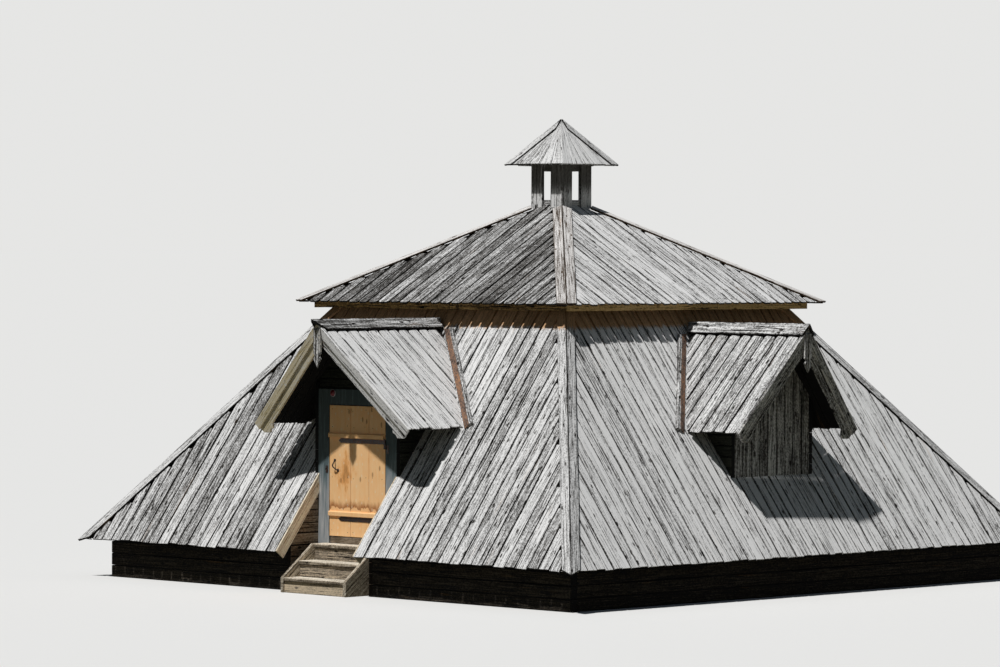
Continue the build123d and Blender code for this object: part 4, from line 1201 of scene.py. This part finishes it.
class DormerGables(Operator):
    """Bargeboards with shaped feet, the strips on them, and the arrow-headed apex boards"""
    bl_idname = "cellar.dormer_gables"
    bl_label = "Dormer gables"

    def execute(self, context):
        barges, strips, points = Heap(51), Heap(52), Heap(53)
        for dormer, looks in ((DOOR_DORMER, ((1.08, 0.0), (1.25, 0.90))),
                              (BLIND_DORMER, ((0.60, 0.1), (0.60, 0.1)))):
            self.rakes(barges, strips, dormer, looks)
            self.point(points, dormer)
        finish = wood("lichened_boards", lichen=True, contrast=1.3)
        for heap, name, node in ((barges, "dormer_barges", "dormer_bargeboards"),
                                 (strips, "dormer_verges", "dormer_verge_strips"),
                                 (points, "dormer_apex_points", "dormer_apex_boards")):
            heap.piece(name, finish, BUILDING, "lichened_boards", node)
        return {"FINISHED"}

    def rakes(self, barges, strips, dormer, looks):
        """Outlines of the front, drawn with u and z and laid on the rake.

        The bargeboard's foot has a flat toe and a scooped round, an arc of a circle whose centre
        lies below and inside. The strip's foot is cut square.
        """
        width, thick, foot_drop, toe_in, toe_width, joint = 0.215, 0.025, 0.125, 0.135, 0.12, 0.0015
        strip_width, strip_top, beside = 0.11, 0.047, 0.0705
        on_rake = dormer.on_rake
        drop = width / cos(dormer.angle)
        toe = dormer.half - toe_in
        heel = toe - toe_width
        inner = dormer.half - width / sin(dormer.angle)
        radius = heel - inner
        low = on_rake(0, dormer.eave_z)[1] - foot_drop
        turn = np.linspace(0, pi / 2, 7)[1:-1]
        arc = [(inner + radius * cos(t), low + radius * sin(t)) for t in turn]
        eave = on_rake(dormer.half, dormer.eave_z)
        barge = [(heel, low), (toe, low), eave, on_rake(joint, dormer.top_z(joint)),
                 on_rake(joint, dormer.top_z(joint) - drop),
                 on_rake(inner, dormer.top_z(inner) - drop), (inner, low + radius)] + arc[::-1]
        foot = on_rake(dormer.half - strip_width * sin(dormer.angle),
                       dormer.eave_z - strip_width * cos(dormer.angle))
        strip = [on_rake(beside, dormer.top_z(beside)), eave, foot,
                 on_rake(beside, dormer.top_z(beside) - strip_width / cos(dormer.angle))]
        turned = pi / 2 - dormer.angle
        for lay, (tone, moss) in zip(dormer.halves(dormer.rake_lay()), looks):
            slab(barges, lay, barge, 0.0, thick, tone - 0.05, moss, grain_turn=turned)
            slab(strips, lay, strip, thick, strip_top, tone + 0.03, moss, grain_turn=turned)

    def point(self, heap, dormer):
        """The apex board, from its top down: straight sides, a neck, shoulders and a point."""
        below, straight, to_neck, to_shoulder, to_tip = 0.085, 0.312, 0.033, 0.037, 0.113
        half, neck_half, shoulder_half, barge_thick, thick = 0.0675, 0.038, 0.070, 0.025, 0.020
        top = dormer.ridge_z - below
        low = top - straight
        neck = low - to_neck
        shoulder = neck - to_shoulder
        right = [(half, top), (half, low), (neck_half, neck), (shoulder_half, shoulder)]
        outline = right + [(0, shoulder - to_tip)] + [(-u, z) for u, z in reversed(right)]
        back = (dormer.ridge_out - (dormer.ridge_z - top) * tan(dormer.rake_angle)
                + barge_thick / cos(dormer.rake_angle))
        slab(heap, wall_lay(back).turned(dormer.side), outline, 0.0, thick, 0.50, 0.15,
             spacing=0.05)


class Walls(Operator):
    """Planks of the gable, the blind front, the dormers' cheeks and the entrance recess"""
    bl_idname = "cellar.walls"
    bl_label = "Walls and cheeks"

    def execute(self, context):
        course = sizes().course
        dark = wood("shaded_planks", SHADED, contrast=0.5)
        self.gable(course, dark)
        self.blind_front()
        self.cheeks(course, dark)
        self.recess(course)
        self.trims()
        return {"FINISHED"}

    def gable(self, course, finish):
        """Level planks over the lintel, as wide as the roof above them leaves room for."""
        heap = Heap(61)
        set_back, clear = 0.02, 0.01
        peak = DOOR_DORMER.under_z(0)
        low, high = spread(heap.rng, LINTEL_TOP, peak - clear, course, TIGHT_GAP)

        def reach(z):
            return np.clip((peak - z) / tan(DOOR_DORMER.angle), STUB, OPENING_HALF)

        boards(heap, course_lay(WALL_FACE - set_back),
               courses(low, high, lambda z: -reach(z), reach), -PLANK_THICK, 0.0,
               heap.rng.normal(0.5, 0.08, len(low)))
        heap.piece("door_gable_planks", finish, BUILDING, "dark_timber", "door_gable_wall")

    def blind_front(self):
        """Upright boards from the skirt up to the blind dormer's slopes."""
        heap = Heap(62)
        left, right = spread(heap.rng, -OPENING_HALF, OPENING_HALF, BROAD_PITCH, PLANK_GAP)
        corners = quads(left, right, skirt.z_at(WALL_FACE), BLIND_DORMER.under_z)
        boards(heap, wall_lay(WALL_FACE).turned(RIGHT), corners, -PLANK_THICK, 0.0,
               heap.rng.normal(0.52, 0.07, len(left)))
        heap.piece("blind_front_boards", wood("weathered_front"), BUILDING, "dark_timber",
                   "side_dormer_front_wall")

    def cheeks(self, course, finish):
        """Level planks between the skirt's slope and the wall's face, under each dormer slope."""
        heap = Heap(63)
        for dormer in DORMERS:
            low, high = spread(heap.rng, skirt.z_at(WALL_FACE), dormer.under_z(CHEEK_OUTER),
                               course, TIGHT_GAP)
            corners = courses(low, high, lambda z: np.minimum(skirt.d_at(z), WALL_FACE - STUB),
                              WALL_FACE)
            for lay in dormer.halves(cheek_lay(CHEEK_OUTER)):
                boards(heap, lay, corners, -PLANK_THICK, 0.0, heap.rng.normal(0.5, 0.08, len(low)))
        heap.piece("dormer_cheek_planks", finish, BUILDING, "dark_timber", "dormer_cheeks")

    def recess(self, course):
        """Level planks beside the entrance, from the wall out to the skirt's underside."""
        heap = Heap(64)
        clear = 0.005
        under = skirt.underside()
        low, high = spread(heap.rng, clear, under.z_at(WALL_BACK), course, PLANK_GAP)
        corners = courses(low, high, WALL_BACK,
                          lambda z: np.clip(under.d_at(z), WALL_BACK + STUB, BASE_OUTER))
        for lay in cheek_lay(OPENING_HALF, facing=-1).pair():
            boards(heap, lay, corners, -PLANK_THICK, 0.0, heap.rng.normal(0.5, 0.08, len(low)))
        heap.piece("recess_planks", wood("recess_planks", RECESS_BROWN, contrast=0.55), BUILDING,
                   "brown_planks", "recess_cheeks")

    def trims(self):
        """A pale board on each side of the opening, its front edge along the skirt's slope."""
        heap = Heap(65)
        width, thick = 0.155, 0.02
        low = skirt.lowered(width)
        outline = [(WALL_FACE, skirt.z_at(WALL_FACE)), (WALL_FACE, low.z_at(WALL_FACE)),
                   (low.edge_d, low.edge_z), (SKIRT_HALF, SKIRT_EDGE_Z)]
        for lay in profile_lay(OPENING_HALF, facing=-1).pair():
            slab(heap, lay, outline, 0.0, thick, 0.74, spacing=0.15, bevel=0.002,
                 grain_turn=pi / 2 - SKIRT_ANGLE)
        heap.piece("opening_trims", wood("new_board", NEW_CREAM, contrast=0.5), BUILDING,
                   "new_trim_board", "opening_trim_boards")


class BaseAndFloor(Operator):
    """Squared timbers of the base walls, the floor planks and the timber that carries the roofs"""
    bl_idname = "cellar.base_and_floor"
    bl_label = "Base, floor and frame timber"

    def execute(self, context):
        self.base()
        self.floor()
        carrying = finish_named("carrying_timber", planked_dark, (0.05, 0.038, 0.027),
                                (0.15, 0.115, 0.08))
        dress(carrying, "hip_rafters", "ring_beams")
        return {"FINISHED"}

    def base(self):
        """Timbers on top of each other. The front's and the back's run to the corners, and the
        front's leave the entrance open.
        """
        heap = Heap(71)
        clear = 0.005
        thick = BASE_OUTER - BASE_INNER
        low, high = spread(heap.rng, clear, skirt.underside().z_at(BASE_OUTER), BROAD_PITCH,
                           PLANK_GAP)
        beside = [(-BASE_OUTER, -CHEEK_OUTER), (CHEEK_OUTER, BASE_OUTER)]
        between = [(-BASE_OUTER + thick, BASE_OUTER - thick)]
        for angle, parts in zip(SIDES, (beside, between, [(-BASE_OUTER, BASE_OUTER)], between)):
            for start, stop in parts:
                boards(heap, course_lay(BASE_OUTER).turned(angle),
                       courses(low, high, start, stop), -thick, 0.0,
                       heap.rng.normal(0.45, 0.08, len(low)), bevel=0.008, stations=10)
        heap.piece("base_timbers", wood("base_timber", BASE_SHADED), BUILDING, "dark_timber",
                   "base_walls_beside_doorway", "base_wall_back", "base_walls_left_and_right")

    def floor(self):
        """Planks from back to front, which stop at the wall in the doorway's width."""
        heap = Heap(72)
        for start, stop, front in ((-BASE_INNER, -CHEEK_OUTER, BASE_INNER),
                                   (CHEEK_OUTER, BASE_INNER, BASE_INNER),
                                   (-CHEEK_OUTER, CHEEK_OUTER, WALL_BACK)):
            left, right = spread(heap.rng, start, stop, BROAD_PITCH, PLANK_GAP)
            boards(heap, level_lay(FLOOR_TOP), quads(left, right, -BASE_INNER, front),
                   -FLOOR_THICK, 0.0, heap.rng.normal(0.5, 0.07, len(left)), wave=0.001)
        heap.piece("floor_boards", wood("floor_planks", FLOOR_BROWN), BUILDING, "floor_planks",
                   "floor")


class Doorway(Operator):
    """Posts, lintel, sill and steps"""
    bl_idname = "cellar.doorway"
    bl_label = "Doorway and steps"

    def execute(self, context):
        dress(finish_named("post_paint", post_paint, chosen("posts")), "door_posts",
              "door_lintel")
        dress(finish_named("sill_timber", planked_dark, (0.10, 0.075, 0.05),
                           (0.26, 0.21, 0.155)), "door_sill")

        finish = wood("step_wood", TREAD_WORN, contrast=0.6)
        count, top, rise, going = 3, 0.60, 0.205, 0.265
        first, half, thick, nosing = WALL_FACE + 0.24, 0.55, 0.04, 0.024
        joint, riser_thick = 0.003, 0.025
        treads, risers = Heap(81), Heap(82)
        for index in range(count):
            front = first + index * going
            back = WALL_FACE if index == 0 else front - going - nosing
            z = top - index * rise
            split = (back + front) / 2
            for near, far in ((back, split - joint), (split + joint, front)):
                boards(treads, tread_lay(z), courses(near, far, -half, half), -thick, 0.0,
                       treads.rng.normal(0.80, 0.05), bevel=0.008, stations=10, edges=0.6)
            lowest = index == count - 1
            low = 0.0 if lowest else z - rise - thick
            boards(risers, course_lay(front - nosing), courses(low, z - thick, -half, half),
                   -riser_thick, 0.0, 0.82 if lowest else 0.50, bevel=0.003, wave=0.0,
                   stations=8)
        treads.piece("tread_planks", finish, BUILDING, "step_planks", "step_treads")
        risers.piece("riser_planks", wood("riser_wood", RISER_BROWN, contrast=0.6), BUILDING,
                     "step_planks", "step_risers")

        strings = Heap(83)
        string_thick, clear = 0.05, 0.003
        last = first + (count - 1) * going
        outline = [(WALL_FACE, clear), (last, clear), (last, top - (count - 1) * rise),
                   (first, top), (WALL_FACE, top)]
        for lay in profile_lay(half + string_thick).pair():
            slab(strings, lay, outline, -string_thick, 0.0, 0.52,
                 grain_turn=pi / 2 - atan2(rise, going))
        strings.piece("stringer_planks", finish, BUILDING, "step_planks", "step_stringers")
        return {"FINISHED"}


class DoorPiece(Operator):
    """The plank door with its ledges, handle and nails"""
    bl_idname = "cellar.door"
    bl_label = "Door"

    def execute(self, context):
        half = 0.512
        wood_finish = finish_named("door_pine", pine, chosen("door"))
        self.planks(half, wood_finish)
        self.ledges(half, wood_finish)
        iron = finish_named("forged_iron", forged_iron, chosen("iron"))
        dress(iron, "door_strap_hinges", "hinge_pintles", "latch_staple")
        self.handle(iron)
        self.nails(iron)
        return {"FINISHED"}

    def planks(self, half, finish):
        """Three upright planks of their own widths, with a joint on each side of the middle one."""
        heap = Heap(91)
        low, high, thick, joint = 0.695, 2.368, 0.045, 0.002
        edges = np.array([-half, -0.125, 0.215, half])
        left = edges[:-1] + [0, joint, joint]
        right = edges[1:] - [joint, joint, 0]
        boards(heap, wall_lay(WALL_FACE), quads(left, right, low, high), -thick, 0.0, 0.5,
               bevel=0.003, wave=0.0, stations=8)
        heap.piece("door_planks", finish, DOOR, "pine_door", "door_leaf")

    def ledges(self, half, finish):
        """Two ledges across the planks: their profile, with a chamfer on top, along the door."""
        heap = Heap(92)
        depth, height, chamfer, short = 0.025, 0.06, 0.012, 0.012
        for top in (1.015, 2.018):
            profile = [(0.0, top - height), (depth, top - height), (depth, top - chamfer),
                       (depth - chamfer, top), (0.0, top)]
            slab(heap, profile_lay(-half, WALL_FACE), profile, 0.0, 2 * half - short, 0.5,
                 bevel=0.001, wear=0.0, spacing=1.0)
        heap.piece("door_strips", finish, DOOR, "pine_door", "door_ledges")

    def handle(self, iron):
        """A forged pull: a round bar along a curling path, with a leaf plate at each end.

        From top to bottom the path sweeps to the right with the square of its share s, curls
        with a sine, and stands out by a sine to a power. The bar is thickest in the middle.
        """
        heap = Heap(93)
        u, low, high, sweep, curl, curls = -0.411, 1.535, 1.665, 0.045, 0.011, 2.6
        clear, stand, fullness, radius, belly = 0.006, 0.04, 0.7, 0.0065, 0.002
        s = np.linspace(0, 1, 41)
        x = u + sweep * s ** 2 + curl * np.sin(curls * pi * s)
        z = high + (low - high) * s
        y = -WALL_FACE - clear - stand * np.sin(pi * s) ** fullness
        tube(heap, np.column_stack([x, y, z]), radius + belly * np.sin(pi * s))
        lay = wall_lay(WALL_FACE)
        for end, reach in ((0, 0.019), (-1, 0.022)):
            turned_form(heap, lay.shifted(x[end], z[end]),
                        [(reach, 0.0), (reach, 0.003), (reach * 0.7, 0.0045), (0.001, 0.005)],
                        around=24)
        heap.piece("door_pull", iron, DOOR, "black_iron", "door_handle")

    def nails(self, iron):
        """Domed nail heads in the straps and in rows across the planks, a little out of line."""
        heap = Heap(94)
        strap_heights, strap_start, strap_end, strap_nails = (0.919, 1.922), -0.27, 0.45, 6
        rows, columns = (0.76, 1.10, 1.45, 2.10, 2.31), (-0.46, -0.18, -0.07, 0.15, 0.27, 0.46)
        strap_thick, strap_radius, plank_radius, uneven = 0.006, 0.009, 0.005, 0.015
        spots = [(u, z, strap_thick, strap_radius) for z in strap_heights
                 for u in np.linspace(strap_start, strap_end, strap_nails)]
        spots += [(u + heap.rng.uniform(-uneven, uneven), z + heap.rng.uniform(-uneven, uneven),
                   0.0, plank_radius) for z in rows for u in columns]
        lay = wall_lay(WALL_FACE)
        for u, z, lift, radius in spots:
            turned_form(heap, lay.shifted(u, z, lift),
                        [(radius, 0.0), (radius * 0.8, radius * 0.25),
                         (radius * 0.1, radius * 0.4)], around=10)
        heap.piece("door_nails", iron, DOOR, "black_iron")


class LampPiece(Operator):
    """The small round lamp on the lintel: a red glass in a dull rim"""
    bl_idname = "cellar.lamp"
    bl_label = "Lamp"

    def execute(self, context):
        lay = wall_lay(WALL_FACE).shifted(-0.445, 2.525)
        glass, rim = Heap(95), Heap(96)
        radius, depth, seat, outer, rim_depth, lip = 0.042, 0.022, 0.004, 0.05, 0.014, 0.003
        ball, closing = (radius ** 2 + depth ** 2) / (2 * depth), 0.03
        angle = np.linspace(np.arcsin(radius / ball), closing, 9)
        height = rim_depth + depth - ball + ball * np.cos(angle)
        dome = np.column_stack([ball * np.sin(angle), height])
        turned_form(glass, lay, np.vstack([[(radius, seat)], dome]))
        glass.piece("lamp_glass", finish_named("red_glass", red_glass, chosen("lamp")), BUILDING,
                    "red_lamp", "wall_lamp")
        turned_form(rim, lay, [(outer, 0.0), (outer, rim_depth - lip), (outer - lip, rim_depth),
                               (radius, rim_depth), (radius, rim_depth - seat)])
        rim.piece("lamp_rim", finish_named("dull_rim", dull_rim), BUILDING, "red_lamp")
        return {"FINISHED"}


def looking(back, up, place):
    """A matrix whose local Z points back and whose Y lies as near as it can to up."""
    back = np.array(back, float) / np.linalg.norm(back)
    right = np.cross(np.array(up, float), back)
    right = right / np.linalg.norm(right)
    matrix = np.eye(4)
    matrix[:3, 0], matrix[:3, 1], matrix[:3, 2] = right, np.cross(back, right), back
    matrix[:3, 3] = place
    return Matrix(matrix.tolist())


class Stage(Operator):
    """A plain pale floor, soft light, a pale background and the camera"""
    bl_idname = "cellar.stage"
    bl_label = "Stage"

    def execute(self, context):
        context.scene.view_settings.view_transform = "Standard"
        self.floor()
        self.light(context.scene)
        self.camera(context.scene)
        return {"FINISHED"}

    def add(self, name, data):
        """An object that isn't part of the building."""
        thing = bpy.data.objects.new(name, data)
        bpy.context.scene.collection.objects.link(thing)
        return thing

    def floor(self):
        """One wide square. What the camera sees is paler than what lights the object."""
        reach, seen, lit = 4000.0, (0.854, 0.841, 0.815), (0.15, 0.14, 0.10)
        mesh = bpy.data.meshes.new("stage_floor")
        mesh.from_pydata([(-reach, -reach, 0), (reach, -reach, 0), (reach, reach, 0),
                          (-reach, reach, 0)], [], [(0, 1, 2, 3)])
        finish = Finish("stage_pale")
        shades = [finish.node("ShaderNodeBsdfDiffuse", {}, {"Color": rgba(shade)})
                  for shade in (seen, lit)]
        mesh.materials.append(finish.seen_or_lit("Material Output", *shades))
        self.add("stage_floor", mesh)

    def light(self, scene):
        """A high sun a little to the right of the doorway, and a dim blue sky seen as pale grey."""
        sun = bpy.data.lights.new("key", "SUN")
        sun.energy = 3.15
        sun.angle = radians(1.5)
        height, swing = radians(60.8), radians(6.5)
        towards = (cos(height) * sin(swing), -cos(height) * cos(swing), sin(height))
        self.add("key", sun).matrix_world = looking(towards, (0, 0, 1), (0, -20, 30))
        scene.world = bpy.data.worlds.new("stage_light")
        sky = Finish(scene.world)
        seen, lit = ((0.79, 0.79, 0.78), 1.0), ((0.60, 0.78, 1.0), 0.082)
        shades = [sky.node("ShaderNodeBackground", {}, {"Color": rgba(shade), "Strength": strength})
                  for shade, strength in (seen, lit)]
        sky.seen_or_lit("World Output", *shades)

    def camera(self, scene):
        """A long lens that looks back at the building from between its front and its right."""
        data = bpy.data.cameras.new("camera")
        data.sensor_width = 36.0
        data.lens = 167.015
        data.clip_end = 9000.0
        azimuth, distance, aside, up = radians(44.56), 61.736, -0.8095, 4.368
        pitch, roll = 0.0181, 0.0031
        back = np.array([sin(azimuth), -cos(azimuth), 0.0])
        right = np.array([cos(azimuth), sin(azimuth), 0.0])
        level = np.array([0.0, 0.0, 1.0])
        place = back * distance + right * aside + level * up
        behind = back * cos(pitch) + level * sin(pitch)
        above = level * cos(pitch) - back * sin(pitch)
        tilted_right = right * cos(roll) + above * sin(roll)
        scene.camera = self.add("camera", data)
        scene.camera.matrix_world = looking(behind, np.cross(behind, tilted_right), place)


OPERATORS = (SkirtBoards, RoofBoards, Lantern, DormerRoofs, DormerGables, Walls, BaseAndFloor,
             Doorway, DoorPiece, LampPiece, Stage)


class CellarPanel(Panel):
    """The sidebar's list of sizes, colours and pieces"""
    bl_idname = "VIEW3D_PT_cellar"
    bl_label = "Root cellar"
    bl_space_type = "VIEW_3D"
    bl_region_type = "UI"
    bl_category = "Cellar"

    def draw(self, context):
        for group in (context.scene.cellar_sizes, context.scene.cellar_colours):
            box = self.layout.box()
            for name in group.__annotations__:
                box.prop(group, name)
        column = self.layout.column()
        for operator in OPERATORS:
            column.operator(operator.bl_idname)


CLASSES = (CellarSizes, CellarColours, *OPERATORS, CellarPanel)


def register():
    for cls in CLASSES:
        bpy.utils.register_class(cls)
    bpy.types.Scene.cellar_sizes = PointerProperty(type=CellarSizes)
    bpy.types.Scene.cellar_colours = PointerProperty(type=CellarColours)


def unregister():
    del bpy.types.Scene.cellar_colours
    del bpy.types.Scene.cellar_sizes
    for cls in reversed(CLASSES):
        bpy.utils.unregister_class(cls)


def main():
    register()
    for operator in OPERATORS:
        group, name = operator.bl_idname.split(".")
        getattr(getattr(bpy.ops, group), name)()


if __name__ == "__main__":
    main()
